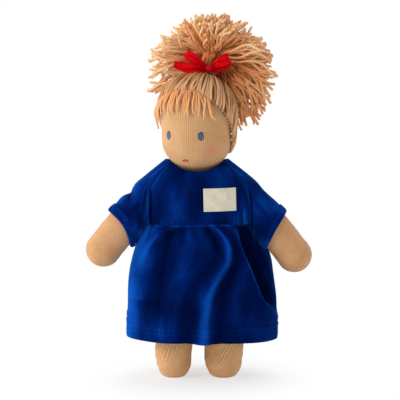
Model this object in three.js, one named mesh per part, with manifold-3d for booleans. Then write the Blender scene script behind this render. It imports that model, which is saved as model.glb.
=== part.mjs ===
import * as THREE from 'three';
import { mergeVertices } from 'three/addons/utils/BufferGeometryUtils.js';
import Module from 'manifold-3d';

// A stuffed cloth doll in a gathered dress, with a yarn pony tail tied in a ribbon.
// Millimetres, +Z up, the face towards -Y. Left and right are the doll's own: its left is at +X.

const wasm = await Module();
wasm.setup();

// Cloth and clearances
const seat = 0.3; // between two pieces that touch
const velourWall = 1.6; // dress cloth with its backing
const jerseyWall = 1.6; // skin cloth over the head
const sliceGap = 0.3; // between two bunches of the pony tail

// Where the body's upright axis stands, seen from the middle of the outline on the floor
const axisX = -1.9;
const axisY = -12;

// Legs
const legLength = 94; // sole to hip seam
const soleCut = 0.5; // how much of the rounded end the flat sole takes off
const rightLegRadius = 18.3;
const leftLegRadius = 19.4;
const rightLegX = -23.5;
const leftLegX = 25.5;
const hipRoll = 1.5; // radius of the rolled seam that a leg swings on

// Torso
const torsoHeight = 110; // hip seam to the neck opening
const torsoHalfWidth = 47.5;
const torsoHalfDepth = 29.5;

// Arms
const armRootRadius = 10.5;
const armRadius = 17.5;
const rightArmLength = 84.5; // shoulder to the middle of the round hand end
const leftArmLength = 90.7;
const armDrop = 6; // degrees below its rest that an arm has room to swing
const rightArmAngle = 39.2; // degrees out from hanging straight down
const leftArmAngle = 38.3;
const rightShoulder = { x: -40.5, below: 9 }; // below the neck opening
const leftShoulder = { x: 41.5, below: 9 };

// Neck
const neckBallRadius = 12;
const neckPivotBelow = 6; // below the neck opening
const neckStemRadius = 9;
const neckStemHeight = 12; // above the pivot
const tieCordRadius = 1;
const tieHeight = 8; // above the pivot

// Head
const chinAboveTorso = 3.5;
const headHeight = 96;
const jawRadius = 35;
const crownRadius = 37;
const headHole = 11.5; // radius of the opening under the chin
const headTurn = -23.4; // degrees, at rest
const eyeSpread = 29.5; // degrees each side of the middle of the face
const eyeHeight = 38.5; // above the chin
const eyeHalfWidth = 2.9;
const eyeHalfHeight = 4.4;
const mouthHeight = 13.5;
const mouthHalfWidth = 3.2;
const mouthHalfHeight = 0.9;
const stitchRise = 0.9; // how far embroidery stands out

// Hair
const hairWall = 4.2; // yarn laid over the skull
const hairGroove = 1.5; // depth of the grooves between its locks
const lockCount = 34;
const poleTilt = 23.4; // degrees that the pony tail leans from upright
const poleAzimuth = 72.4; // degrees from +X, before the head turns
const tuftRadius = 15; // of the gathered heart of the pony tail
const tuftNeckRadius = 10.5;
const tuftNeck = 6; // length of the tied part
const tuftRise = 10; // tied part's foot to the middle of the heart
const strandHalf = 1.35; // half the thickness of a strand
const topStrand = 45; // length of the strands that stand up
const sideStrand = 62; // and of those that lie level
const hangingStrand = 12; // how much longer the ones are that hang down
const strandRows = 8;
const firstStrand = 22.5; // degrees of the first row from the tail's axis
const widestStrand = 127.5; // and of the last
const fringeCount = 11;
const fringeLength = 21;
const fringeHalf = 1.75;
const seamThread = 0.7; // radius of the stitching along the hairline
// The hairline on half of the head: degrees from the middle of the face, height above the chin
const hairline = [[0, 79], [40, 78.5], [52, 72], [62, 61], [75, 49], [95, 35], [125, 23], [180, 15]];

// Ribbon
const ribbonWidth = 10;
const ribbonWall = 0.8;
const bandWidth = 4.4;
const knotHalf = { x: 3.6, y: 2.6, z: 3.4 };
const bowAzimuth = 23.4; // degrees that the bow is turned on the head

// Dress
const waistBelow = 48; // waist seam below the neck opening
const bodiceEase = 2.4; // bodice over torso at the waist, wall included
const neckHalfWidth = 31;
const neckHalfDepth = 26;
const neckFrontRise = 6.5; // neckline over the neck opening, in front
const neckSideRise = 13.5; // and at the sides
const sleeveEase = 4; // sleeve over arm at its hem
const sleeveLength = 58;
const skirtLength = 116.2;
const hemHalfWidth = 74.5;
const hemHalfDepth = 48;
const hemShift = 6.5; // how far the skirt hangs to the left
const underArmEase = 1.3; // between the skirt and the sleeves that press on it
const slitLength = 42;
const slitWidth = 0.8;
const labelWidth = 34;
const labelHeight = 24;
const labelWall = 0.8;
const labelX = 22.5;
const labelAboveWaist = 25;
const buttonRadius = 4.5;
const buttonWall = 2.2;
const loopThread = 0.6;

// Levels
const hipZ = legLength;
const neckZ = hipZ + torsoHeight;
const pivotZ = neckZ - neckPivotBelow;
const chinZ = neckZ + chinAboveTorso;
const waistZ = neckZ - waistBelow;
const wayOut = 2 * neckZ; // further out than any piece reaches

const degrees = THREE.MathUtils.degToRad;
const up = new THREE.Vector3(0, 0, 1);
const point = (x, y, z) => new THREE.Vector3(x, y, z);

const velour = new THREE.MeshStandardMaterial({ color: 0x0a2f86, roughness: 0.9 });
const jersey = new THREE.MeshStandardMaterial({ color: 0xd8ab7c, roughness: 0.85 });
const wool = new THREE.MeshStandardMaterial({ color: 0xece2cd, roughness: 1 });
const cord = new THREE.MeshStandardMaterial({ color: 0xd9cdb4, roughness: 0.9 });
const yarn = new THREE.MeshStandardMaterial({ color: 0xc58d5c, roughness: 0.95 });
const satin = new THREE.MeshStandardMaterial({ color: 0xb80d14, roughness: 0.4 });
const blueThread = new THREE.MeshStandardMaterial({ color: 0x47637e, roughness: 0.7 });
const redThread = new THREE.MeshStandardMaterial({ color: 0xc65040, roughness: 0.7 });
const tape = new THREE.MeshStandardMaterial({ color: 0xd3ccb8, roughness: 0.85 });
const navyPlastic = new THREE.MeshStandardMaterial({ color: 0x0b2a6d, roughness: 0.35 });

// Solids

// A closed solid from any geometry, facing out, without the empty triangles at its poles.
function solidOf(geometry) {
  const bare = new THREE.BufferGeometry();
  bare.setAttribute('position', geometry.getAttribute('position').clone());
  if (geometry.index) bare.setIndex(geometry.index);
  const merged = mergeVertices(bare, 1e-4);
  const at = merged.getAttribute('position').array;
  const index = merged.index.array;
  const kept = [];
  let sixVolumes = 0;
  const [a, b, c] = [point(), point(), point()];
  for (let i = 0; i < index.length; i += 3) {
    const [p, q, r] = [index[i], index[i + 1], index[i + 2]];
    if (p === q || q === r || r === p) continue;
    kept.push(p, q, r);
    sixVolumes += a.fromArray(at, 3 * p).dot(b.fromArray(at, 3 * q).cross(c.fromArray(at, 3 * r)));
  }
  if (sixVolumes < 0) {
    for (let i = 0; i < kept.length; i += 3) [kept[i + 1], kept[i + 2]] = [kept[i + 2], kept[i + 1]];
  }
  return new wasm.Manifold(new wasm.Mesh({
    numProp: 3,
    vertProperties: new Float32Array(at),
    triVerts: new Uint32Array(kept),
  }));
}

function geometryOf(solid) {
  const mesh = solid.getMesh();
  const at = new Float32Array((mesh.vertProperties.length / mesh.numProp) * 3);
  for (let i = 0; i < at.length / 3; i++) {
    for (let k = 0; k < 3; k++) at[3 * i + k] = mesh.vertProperties[i * mesh.numProp + k];
  }
  const geometry = new THREE.BufferGeometry();
  geometry.setAttribute('position', new THREE.BufferAttribute(at, 3));
  geometry.setIndex([...mesh.triVerts]);
  const flat = geometry.toNonIndexed();
  flat.computeVertexNormals();
  return flat;
}

// A ring of points round a centre, along u and v. A power over 2 squares its shoulders.
function ring(centre, u, v, count, power = 2) {
  const points = [];
  for (let i = 0; i < count; i++) {
    const turn = (2 * Math.PI * i) / count;
    const [c, s] = [Math.cos(turn), Math.sin(turn)];
    const across = Math.sign(c) * Math.abs(c) ** (2 / power);
    const along = Math.sign(s) * Math.abs(s) ** (2 / power);
    points.push(centre.clone().addScaledVector(u, across).addScaledVector(v, along));
  }
  return points;
}

const flatRing = (z, halfWidth, halfDepth, count, power, x = 0) =>
  ring(point(x, 0, z), point(halfWidth, 0, 0), point(0, halfDepth, 0), count, power);

// A skin over rings of points, with flat ends. Where closed is true its last ring meets its first.
function loft(rings, closed = false) {
  const count = rings[0].length;
  const at = rings.flat();
  const index = [];
  const bands = closed ? rings.length : rings.length - 1;
  for (let r = 0; r < bands; r++) {
    const [low, high] = [r * count, ((r + 1) % rings.length) * count];
    for (let i = 0; i < count; i++) {
      const j = (i + 1) % count;
      index.push(low + i, low + j, high + j, low + i, high + j, high + i);
    }
  }
  if (!closed) {
    const middle = (points) => points.reduce((sum, p) => sum.add(p), point(0, 0, 0)).divideScalar(count);
    const [first, last] = [at.length, at.length + 1];
    at.push(middle(rings[0]), middle(rings[rings.length - 1]));
    const top = (rings.length - 1) * count;
    for (let i = 0; i < count; i++) {
      const j = (i + 1) % count;
      index.push(first, j, i, last, top + i, top + j);
    }
  }
  const geometry = new THREE.BufferGeometry().setFromPoints(at);
  geometry.setIndex(index);
  return solidOf(geometry);
}

// A profile of [radius, height] points turned about an axis through foot.
function turned(profile, sides, foot = point(0, 0, 0), axis = up) {
  const points = profile.map(([radius, height]) => new THREE.Vector2(radius, height));
  const geometry = new THREE.LatheGeometry(points, sides);
  geometry.applyQuaternion(new THREE.Quaternion().setFromUnitVectors(point(0, 1, 0), axis));
  geometry.translate(foot.x, foot.y, foot.z);
  return solidOf(geometry);
}

// Points of an arc for a profile: from one angle to another, measured up from the level.
function arc(centreHeight, radius, from, to, steps) {
  const points = [];
  for (let i = 0; i <= steps; i++) {
    const angle = degrees(from + ((to - from) * i) / steps);
    points.push([Math.abs(angle) > Math.PI / 2 - 1e-6 ? 0 : radius * Math.cos(angle),
      centreHeight + radius * Math.sin(angle)]);
  }
  return points;
}

const ball = (centre, radius, sides = 24) => turned(arc(0, radius, -90, 90, sides / 2), sides, centre);

// A bar from one point to another, with a number of sides.
function bar(from, to, radius, sides = 24) {
  const axis = to.clone().sub(from);
  return turned([[0, 0], [radius, 0], [radius, axis.length()], [0, axis.length()]], sides, from,
    axis.clone().normalize());
}

function block(low, high) {
  const geometry = new THREE.BoxGeometry(high.x - low.x, high.y - low.y, high.z - low.z);
  geometry.translate((low.x + high.x) / 2, (low.y + high.y) / 2, (low.z + high.z) / 2);
  return solidOf(geometry);
}

// An outline in X and Z, pushed through from one depth to another.
function slab(outline, nearY, farY) {
  const shape = new THREE.Shape(outline.map(([x, z]) => new THREE.Vector2(x, z)));
  const geometry = new THREE.ExtrudeGeometry(shape, { depth: farY - nearY, bevelEnabled: false });
  geometry.rotateX(Math.PI / 2);
  geometry.translate(0, farY, 0);
  return solidOf(geometry);
}

// The value at x on straight lines through [x, value] pairs.
function along(pairs, x) {
  if (x <= pairs[0][0]) return pairs[0][1];
  for (let i = 1; i < pairs.length; i++) {
    const [[x0, y0], [x1, y1]] = [pairs[i - 1], pairs[i]];
    if (x <= x1) return y0 + ((y1 - y0) * (x - x0)) / (x1 - x0);
  }
  return pairs[pairs.length - 1][1];
}

const smooth = (t) => {
  const s = Math.min(1, Math.max(0, t));
  return s * s * (3 - 2 * s);
};
const bump = (x, width) => Math.exp(-((x / width) ** 2));
// A repeatable uneven number from 0 to 1.
const uneven = (seed) => {
  const value = Math.sin(seed * 12.9898) * 43758.5453;
  return value - Math.floor(value);
};

const doll = new THREE.Group();
const body = new THREE.Group();
body.position.set(axisX, axisY, 0);
doll.add(body);
const head = new THREE.Group();
head.position.z = chinZ;
head.rotation.z = degrees(headTurn);
body.add(head);

function piece(name, solid, material, parent = body) {
  const mesh = new THREE.Mesh(geometryOf(solid), material);
  mesh.name = name;
  parent.add(mesh);
}

// Torso: a bottle-shaped bag, pinched flat at the hip seam, with a hollow for the neck

const bodySides = 28;
const bodyPower = 2.3;
// Share of the torso's height, then shares of its half width and half depth
const torsoShape = [
  [0.011, 0.97, 0.039], [0.09, 0.99, 0.32], [0.18, 1, 0.62], [0.27, 1, 0.85], [0.4, 1, 0.96],
  [0.55, 1, 1], [0.66, 0.9, 0.98], [0.76, 0.81, 0.91], [0.87, 0.76, 0.8], [0.95, 0.65, 0.68],
  [1, 0.41, 0.6],
];
const widthShare = torsoShape.map(([h, w]) => [h, w]);
const depthShare = torsoShape.map(([h, , d]) => [h, d]);
const torsoWidthAt = (z) => torsoHalfWidth * along(widthShare, (z - hipZ) / torsoHeight);
const torsoDepthAt = (z) => torsoHalfDepth * along(depthShare, (z - hipZ) / torsoHeight);

const arms = {
  right: { side: -1, at: rightShoulder, length: rightArmLength, angle: rightArmAngle },
  left: { side: 1, at: leftShoulder, length: leftArmLength, angle: leftArmAngle },
};
for (const arm of Object.values(arms)) {
  arm.shoulder = point(arm.at.x, 0, neckZ - arm.at.below);
  arm.along = point(arm.side * Math.sin(degrees(arm.angle)), 0, -Math.cos(degrees(arm.angle)));
  arm.out = point(arm.side * Math.cos(degrees(arm.angle)), 0, Math.sin(degrees(arm.angle)));
}

// An arm's form, grown all over, at a number of degrees below its rest
function armForm({ side, shoulder, along: axis, length }, grow, drop) {
  const profile = arc(0, armRootRadius + grow, -90, 0, 4);
  for (const share of [0.2, 0.36, 0.52, 0.7, 0.88]) {
    const swell = smooth(share / 0.72);
    profile.push([armRootRadius + grow + (armRadius - armRootRadius) * swell, share * length]);
  }
  profile.push(...arc(length, armRadius + grow, 0, 90, 5));
  return turned(profile, 18, shoulder, axis.clone().applyAxisAngle(point(0, 1, 0), degrees(side * drop)));
}

function makeTorso() {
  let torso = loft(torsoShape.map(([h, w, d]) =>
    flatRing(hipZ + h * torsoHeight, w * torsoHalfWidth, d * torsoHalfDepth, bodySides, bodyPower)));
  const rimRadius = neckBallRadius + seat + 1.6;
  const hollow = turned([
    ...arc(pivotZ, neckBallRadius + seat, -90, 0, 5),
    [rimRadius, neckZ + 1], [0, neckZ + 1],
  ], 18);
  torso = torso.subtract(hollow);
  const across = torsoHalfWidth + 10;
  torso = torso.subtract(bar(point(-across, 0, hipZ), point(across, 0, hipZ), hipRoll + seat, 16));
  for (const arm of Object.values(arms)) {
    torso = torso.subtract(armForm(arm, seat, 0)).subtract(armForm(arm, seat, armDrop));
  }
  return torso;
}
piece('torso', makeTorso(), jersey);

// Neck: a stem on a ball that leans in the torso's hollow, tied off under the chin

function makeNeck() {
  const waist = neckStemRadius - 0.8;
  return turned([
    ...arc(pivotZ, neckBallRadius, -90, 20, 6),
    [waist, pivotZ + tieHeight - 1.6], [waist, pivotZ + tieHeight + 1.6],
    [neckStemRadius, pivotZ + neckStemHeight], [0, pivotZ + neckStemHeight],
  ], 18);
}
piece('neck', makeNeck(), wool);

function makeNeckTie() {
  const middle = neckStemRadius - 0.8 + seat + tieCordRadius;
  const turns = [];
  for (let i = 0; i < 6; i++) {
    const angle = (Math.PI * i) / 3;
    turns.push([
      middle + tieCordRadius * Math.cos(angle),
      pivotZ + tieHeight + tieCordRadius * Math.sin(angle),
    ]);
  }
  return turned([...turns, turns[0]], 18);
}
piece('neck_tie', makeNeckTie(), cord);

// Arms: a sausage that swells from the shoulder to a round hand end
for (const side of ['right', 'left']) piece(`${side}_arm`, armForm(arms[side], 0, 0), jersey);

// Legs: a round tube with a flat sole, pinched to a rolled seam that swings under the torso

const legSides = 20;
// Height above the sole, or below the hip seam where negative, then shares of the radius across and deep
const legShape = [
  [0.1, 0.52, 0.52], [1.2, 0.62, 0.62], [3.5, 0.72, 0.72], [7.5, 0.84, 0.84],
  [13, 0.94, 0.94], [22, 1, 1], [36, 1.03, 1.03], [-42, 1.04, 1.02], [-30, 1.03, 0.93],
  [-20, 1.02, 0.78], [-12, 1, 0.5], [-6, 0.99, 0.26], [-1.2, 0.98, 0.055],
];

function makeLeg(x, radius) {
  const rings = legShape.map(([height, wide, deep]) =>
    flatRing(height > 0 ? height : hipZ + height, wide * radius, deep * radius, legSides, 2, x));
  rings.unshift(flatRing(-soleCut, 0.3 * radius, 0.3 * radius, legSides, 2, x));
  const roll = bar(point(x - 0.93 * radius, 0, hipZ), point(x + 0.93 * radius, 0, hipZ), hipRoll, 12);
  const floor = block(point(x - 2 * radius, -2 * radius, -10), point(x + 2 * radius, 2 * radius, 0));
  return loft(rings).add(roll).subtract(floor);
}
piece('right_leg', makeLeg(rightLegX, rightLegRadius), jersey);
piece('left_leg', makeLeg(leftLegX, leftLegRadius), jersey);

// Head: an egg with a wide crown, turned about the neck. Heights here are above the chin.

const headSides = 28;
const crownHeight = headHeight - crownRadius;
// The egg's profile, set off from its surface by grow, from one height to another
function eggProfile(grow, from, to, steps = 15) {
  const profile = [];
  for (let i = 0; i <= steps; i++) {
    const angle = -90 + (180 * i) / steps;
    const [radius, centre] = angle < 0 ? [jawRadius, jawRadius] : [crownRadius, crownHeight];
    const height = centre + (radius + grow) * Math.sin(degrees(angle));
    const wide = (radius + grow) * Math.cos(degrees(angle));
    if (height > from + 0.5 && height < to - 0.5) profile.push([wide, height]);
  }
  return profile;
}
const eggRadius = (height, grow = 0) => {
  if (height < jawRadius) return Math.sqrt(Math.max(0, (jawRadius + grow) ** 2 - (height - jawRadius) ** 2));
  if (height > crownHeight) {
    return Math.sqrt(Math.max(0, (crownRadius + grow) ** 2 - (height - crownHeight) ** 2));
  }
  return grow + jawRadius + ((crownRadius - jawRadius) * (height - jawRadius)) / (crownHeight - jawRadius);
};
const grownEgg = (grow, sides = headSides, steps = 15) => turned([
  [0, -grow], ...eggProfile(grow, -grow, headHeight + grow, steps), [0, headHeight + grow],
], sides);
const chinHoleHeight = jawRadius - Math.sqrt(jawRadius ** 2 - headHole ** 2);

function makeHeadCover() {
  const inside = grownEgg(-jerseyWall, 20, 9);
  const hole = bar(point(0, 0, -5), point(0, 0, chinHoleHeight + 2 * jerseyWall), headHole);
  return grownEgg(0).subtract(inside).subtract(hole);
}
piece('head_cover', makeHeadCover(), jersey, head);

function makeHeadBall() {
  const foot = pivotZ + neckStemHeight + seat - chinZ;
  const below = block(point(-50, -50, -10), point(50, 50, foot));
  return grownEgg(-jerseyWall - seat, 20, 9).subtract(below);
}
piece('head_ball', makeHeadBall(), wool, head);

const faceDirection = (azimuth) => point(Math.sin(degrees(azimuth)), -Math.cos(degrees(azimuth)), 0);
const cutterEgg = grownEgg(seat);

// A raised oval of stitches on the face
function makeStitched(azimuth, height, halfWidth, halfHeight) {
  const facing = faceDirection(azimuth);
  const centre = facing.clone().multiplyScalar(eggRadius(height)).setZ(height);
  const middle = point(0, 0, height < jawRadius ? jawRadius : height);
  const normal = centre.clone().sub(middle).normalize();
  const wide = point(-facing.y, facing.x, 0);
  const tall = normal.clone().cross(wide).normalize();
  const rings = [[-2, 1, 1], [0.6, 1, 1], [1, 0.72, 0.8], [1.15, 0.3, 0.4]].map(([rise, w, h]) => {
    const at = centre.clone().addScaledVector(normal, seat + rise * stitchRise);
    const across = wide.clone().multiplyScalar(w * halfWidth);
    const upright = tall.clone().multiplyScalar(h * halfHeight);
    return ring(at, across, upright, 14);
  });
  return loft(rings).subtract(cutterEgg);
}
piece('right_eye', makeStitched(-eyeSpread, eyeHeight, eyeHalfWidth, eyeHalfHeight), blueThread, head);
piece('left_eye', makeStitched(eyeSpread, eyeHeight, eyeHalfWidth, eyeHalfHeight), blueThread, head);
piece('mouth', makeStitched(0, mouthHeight, mouthHalfWidth, mouthHalfHeight), redThread, head);

// Hair cap: locks of yarn that run from the hairline over the skull to the foot of the pony tail

const crownCentre = point(0, 0, crownHeight);
const pole = point(
  Math.sin(degrees(poleTilt)) * Math.cos(degrees(poleAzimuth)),
  Math.sin(degrees(poleTilt)) * Math.sin(degrees(poleAzimuth)),
  Math.cos(degrees(poleTilt)),
);
const capRadius = crownRadius + seat + hairWall;
const footShare = Math.asin((tuftNeckRadius + 1) / capRadius); // angle from the pole to the cap's rim
const hairMiddle = point(0, 0, headHeight / 2);

const hairlineHeight = (azimuth) => along(hairline, Math.abs(((azimuth + 540) % 360) - 180));

function onHairline(azimuth) {
  const height = hairlineHeight(azimuth);
  return faceDirection(azimuth).multiplyScalar(eggRadius(height)).setZ(height);
}

// The skull's surface in a direction from the middle of the head
function skullDistance(direction) {
  let [near, far] = [0, headHeight];
  for (let i = 0; i < 30; i++) {
    const tried = (near + far) / 2;
    const p = direction.clone().multiplyScalar(tried).add(hairMiddle);
    const inside = p.z > 0 && p.z < headHeight && Math.hypot(p.x, p.y) < eggRadius(p.z);
    if (inside) near = tried;
    else far = tried;
  }
  return near;
}

// A point of a lock: how far along it from the hairline, and how high over the skull
function onLock(azimuth, share, rise) {
  const start = onHairline(azimuth).sub(hairMiddle).normalize();
  const rim = crownCentre.clone().addScaledVector(pole, capRadius).sub(hairMiddle).normalize();
  const angle = start.angleTo(rim);
  const axis = start.clone().cross(rim).normalize();
  const direction = start.applyAxisAngle(axis, share * (angle - footShare));
  return direction.multiplyScalar(skullDistance(direction) + rise).add(hairMiddle);
}

function makeHairCap() {
  const columns = 2 * lockCount;
  const rows = [];
  for (const [share, thick] of [[0, 0.55], [0.1, 0.85], [0.32, 1], [0.6, 1], [0.85, 1], [1, 0.9]]) {
    const row = [];
    for (let i = 0; i < columns; i++) {
      const groove = i % 2 ? hairGroove : 0;
      row.push(onLock((360 * i) / columns, share, seat + hairWall * thick - groove));
    }
    rows.push(row);
  }
  const inside = rows[0].map((p) => p.clone().lerp(hairMiddle, 0.5));
  return loft([inside, ...rows]).subtract(cutterEgg);
}
piece('hair_cap', makeHairCap(), yarn, head);

// Space that the cap takes up, with the clearance round it
function capSpace() {
  const rows = [];
  const columns = 2 * lockCount;
  for (const [share, thick] of [[-0.004, 0.75], [0.1, 1], [0.32, 1.1], [0.6, 1.1], [0.85, 1.1], [1, 1.05]]) {
    const row = [];
    const rise = 2 * seat + hairWall * thick;
    for (let i = 0; i < columns; i++) row.push(onLock((360 * i) / columns, share, rise));
    rows.push(row);
  }
  return loft([rows[0].map((p) => p.clone().lerp(hairMiddle, 0.5)), ...rows]);
}
const clearOfCap = capSpace();

// A round yarn through points, thinner at its end
function yarnThrough(points, half, sides, endShare = 0.8) {
  const path = new THREE.CatmullRomCurve3(points);
  const rings = points.map((p, i) => {
    const share = i / (points.length - 1);
    const ahead = path.getTangent(share);
    const across = ahead.clone().cross(Math.abs(ahead.z) > 0.9 ? point(1, 0, 0) : up).normalize();
    const thick = half * (1 + (endShare - 1) * share);
    const beside = ahead.clone().cross(across).normalize();
    return ring(p, across.multiplyScalar(thick), beside.multiplyScalar(thick), sides);
  });
  return loft(rings);
}

// Fringe: yarn ends that leave the stitched hairline and hang over the forehead

const fringeReach = 46; // degrees each side of the middle of the face that the fringe takes up

function makeFringe() {
  const step = (2 * fringeReach) / (fringeCount - 1);
  const over = seat + fringeHalf;
  const hang = (azimuth, drop, rise) => {
    const height = hairlineHeight(azimuth) - 1.5 - drop;
    return faceDirection(azimuth).multiplyScalar(eggRadius(height, rise)).setZ(height);
  };
  const root = [];
  for (let i = 0; i < fringeCount; i++) root.push(hang(-fringeReach + i * step, 1, over));
  let fringe = yarnThrough(root, fringeHalf * 0.8, 6, 1);
  for (let i = 0; i < fringeCount; i++) {
    const azimuth = -fringeReach + i * step;
    const long = fringeLength * (0.86 + 0.28 * uneven(i + 3));
    const sway = -5 + 7 * uneven(i + 11) + (i > fringeCount - 4 ? 6 : 0);
    const points = [[0, 0.9], [0.35, 1.2], [0.7, 1.5], [1, 1.3]].map(([share, lift]) =>
      hang(azimuth + sway * share * share, 1 + long * share, over * lift));
    fringe = fringe.add(yarnThrough(points, fringeHalf, 5, 0.75));
  }
  return fringe.subtract(cutterEgg).subtract(clearOfCap);
}

piece('fringe', makeFringe(), yarn, head);

// The stitching that holds the yarn down, along the front of the hairline
function makeHairSeam() {
  const points = [];
  const reach = fringeReach + 2;
  for (let azimuth = -reach; azimuth <= reach; azimuth += reach / 9) {
    const height = hairlineHeight(azimuth) - 0.4;
    const rise = 2 * seat + 2 * fringeHalf + seamThread;
    points.push(faceDirection(azimuth).multiplyScalar(eggRadius(height, rise)).setZ(height));
  }
  return yarnThrough(points, seamThread, 6, 1);
}
piece('hair_seam', makeHairSeam().subtract(clearOfCap), cord, head);

// Pony tail: a gathered heart in four slices, each with the strands that leave it. Its own frame has
// the tail's axis as +Z and the middle of the heart as its origin.

const tuftTurn = new THREE.Quaternion().setFromUnitVectors(up, pole);
const tuftCentre = crownCentre.clone().addScaledVector(pole, capRadius + tuftRise);
const toTuft = new THREE.Matrix4().compose(tuftCentre, tuftTurn, point(1, 1, 1));
const moved = (solid, matrix) => solid.transform([...matrix.elements]);
const bowFacing = point(Math.sin(degrees(bowAzimuth)), -Math.cos(degrees(bowAzimuth)), 0);

const tuftFoot = -tuftRise + 2 * seat;
const bowlHeight = tuftFoot + tuftNeck; // where the heart starts to widen
const strandRoot = 0.72 * tuftRadius; // strands start inside the heart

function tuftHeart() {
  return turned([
    [0, tuftFoot], [tuftNeckRadius, tuftFoot], [tuftNeckRadius, bowlHeight],
    [tuftRadius * 0.9, bowlHeight + 3], [tuftRadius, bowlHeight + 7], [tuftRadius * 0.9, bowlHeight + 12],
    [tuftRadius * 0.6, bowlHeight + 17], [0, bowlHeight + 19],
  ], 16);
}

// A direction in the tail's frame: degrees from its axis, then radians round it
const fromAxis = (tilt, turn) => point(
  Math.sin(degrees(tilt)) * Math.cos(turn),
  Math.sin(degrees(tilt)) * Math.sin(turn),
  Math.cos(degrees(tilt)),
);

// A strand leaves the heart more upright than it ends, and droops a little
function strand(tilt, turn, seed) {
  const down = up.clone().applyQuaternion(tuftTurn.clone().invert()).negate();
  const end = fromAxis(tilt, turn);
  const rise = -end.dot(down);
  const reach = sideStrand - (rise > 0 ? sideStrand - topStrand : hangingStrand) * rise;
  const long = reach * (0.9 + 0.1 * uneven(seed));
  const fall = down.clone().addScaledVector(end, -down.dot(end)).multiplyScalar(long * 0.08);
  const origin = point(0, 0, bowlHeight + 7);
  const places = [
    [fromAxis(tilt * 0.8, turn).multiplyScalar(strandRoot), 1],
    [fromAxis(tilt * 0.94, turn).multiplyScalar(long * 0.58), 1],
    [end.clone().multiplyScalar(long).add(fall), 0.8],
  ];
  const across = end.clone().cross(tilt < 30 ? point(1, 0, 0) : point(0, 0, 1)).normalize();
  const beside = end.clone().cross(across).normalize();
  const corner = strandHalf * Math.SQRT2;
  return loft(places.map(([at, thick]) => ring(at.add(origin),
    across.clone().multiplyScalar(corner * thick), beside.clone().multiplyScalar(corner * thick), 4)));
}

// Strands keep clear of the bow, which lies in front of the heart
function meetsBow(direction) {
  const world = direction.clone().applyQuaternion(tuftTurn);
  const rise = THREE.MathUtils.radToDeg(Math.asin(world.z));
  const level = point(world.x, world.y, 0).normalize();
  const aside = THREE.MathUtils.radToDeg(level.angleTo(bowFacing));
  return (aside < 62 && rise < 48) || (aside < 82 && rise < 14);
}

function makeTuftSlice(quarter) {
  const middle = degrees(45 + 90 * quarter);
  const shift = sliceGap / 2 / Math.sin(Math.PI / 4);
  const far = 3 * tuftRadius;
  const corner = (angle) => [far * Math.cos(middle + angle), far * Math.sin(middle + angle)];
  const outline = [[0, 0], corner(-Math.PI / 4), corner(0), corner(Math.PI / 4)];
  const shape = new THREE.Shape(outline.map(([x, y]) => new THREE.Vector2(
    x + shift * Math.cos(middle), y + shift * Math.sin(middle))));
  const wedge = new THREE.ExtrudeGeometry(shape, { depth: 4 * tuftRadius, bevelEnabled: false });
  wedge.translate(0, 0, -2 * tuftRadius);
  let slice = tuftHeart().intersect(solidOf(wedge));
  const margin = (strandHalf * Math.SQRT2 + sliceGap) / strandRoot;
  const step = (widestStrand - firstStrand) / (strandRows - 1);
  const spacing = degrees(step);
  for (let row = 0; row < strandRows; row++) {
    const tilt = firstStrand + row * step;
    const across = Math.sin(degrees(tilt));
    const room = (across * Math.PI) / 2 - 2 * margin;
    const count = Math.max(1, Math.floor(room / spacing) + 1);
    for (let i = 0; i < count; i++) {
      const offset = count > 1 ? (i / (count - 1) - 0.5) * room : 0;
      const turn = middle + offset / across;
      if (!meetsBow(fromAxis(tilt, turn))) slice = slice.add(strand(tilt, turn, quarter * 97 + row * 13 + i));
    }
  }
  return moved(slice, toTuft);
}
for (let quarter = 0; quarter < 4; quarter++) {
  piece(`pony_tail_${quarter + 1}`, makeTuftSlice(quarter), yarn, head);
}

// Ribbon: a band round the tied part, and a bow in front of it

const bandMiddle = crownCentre.clone().addScaledVector(pole, capRadius + 2 * seat + bandWidth / 2 + 0.2);

function makeBand() {
  const inner = tuftNeckRadius + seat;
  const outer = inner + ribbonWall;
  const half = bandWidth / 2;
  return turned([[inner, -half], [outer, -half], [outer, half], [inner, half], [inner, -half]], 24,
    bandMiddle, pole);
}
piece('ribbon_band', makeBand(), satin, head);

// The bow's own frame: x along its length, y away from the viewer, z up
const bowOut = bowFacing.clone().addScaledVector(pole, -bowFacing.dot(pole)).normalize();
const knotPlace = bandMiddle.clone()
  .addScaledVector(bowOut, tuftNeckRadius + seat + ribbonWall + seat + knotHalf.y + 0.6);
const toBow = new THREE.Matrix4().compose(
  knotPlace,
  new THREE.Quaternion().setFromAxisAngle(up, degrees(bowAzimuth)),
  point(1, 1, 1),
);

function makeKnot() {
  const rings = [[-1, 0.55], [-0.7, 0.9], [0, 1], [0.7, 0.9], [1, 0.55]].map(([share, wide]) =>
    flatRing(share * knotHalf.z, wide * knotHalf.x, wide * knotHalf.y, 14, 2.6));
  return moved(loft(rings), toBow);
}
piece('bow_knot', makeKnot(), satin, head);

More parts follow.
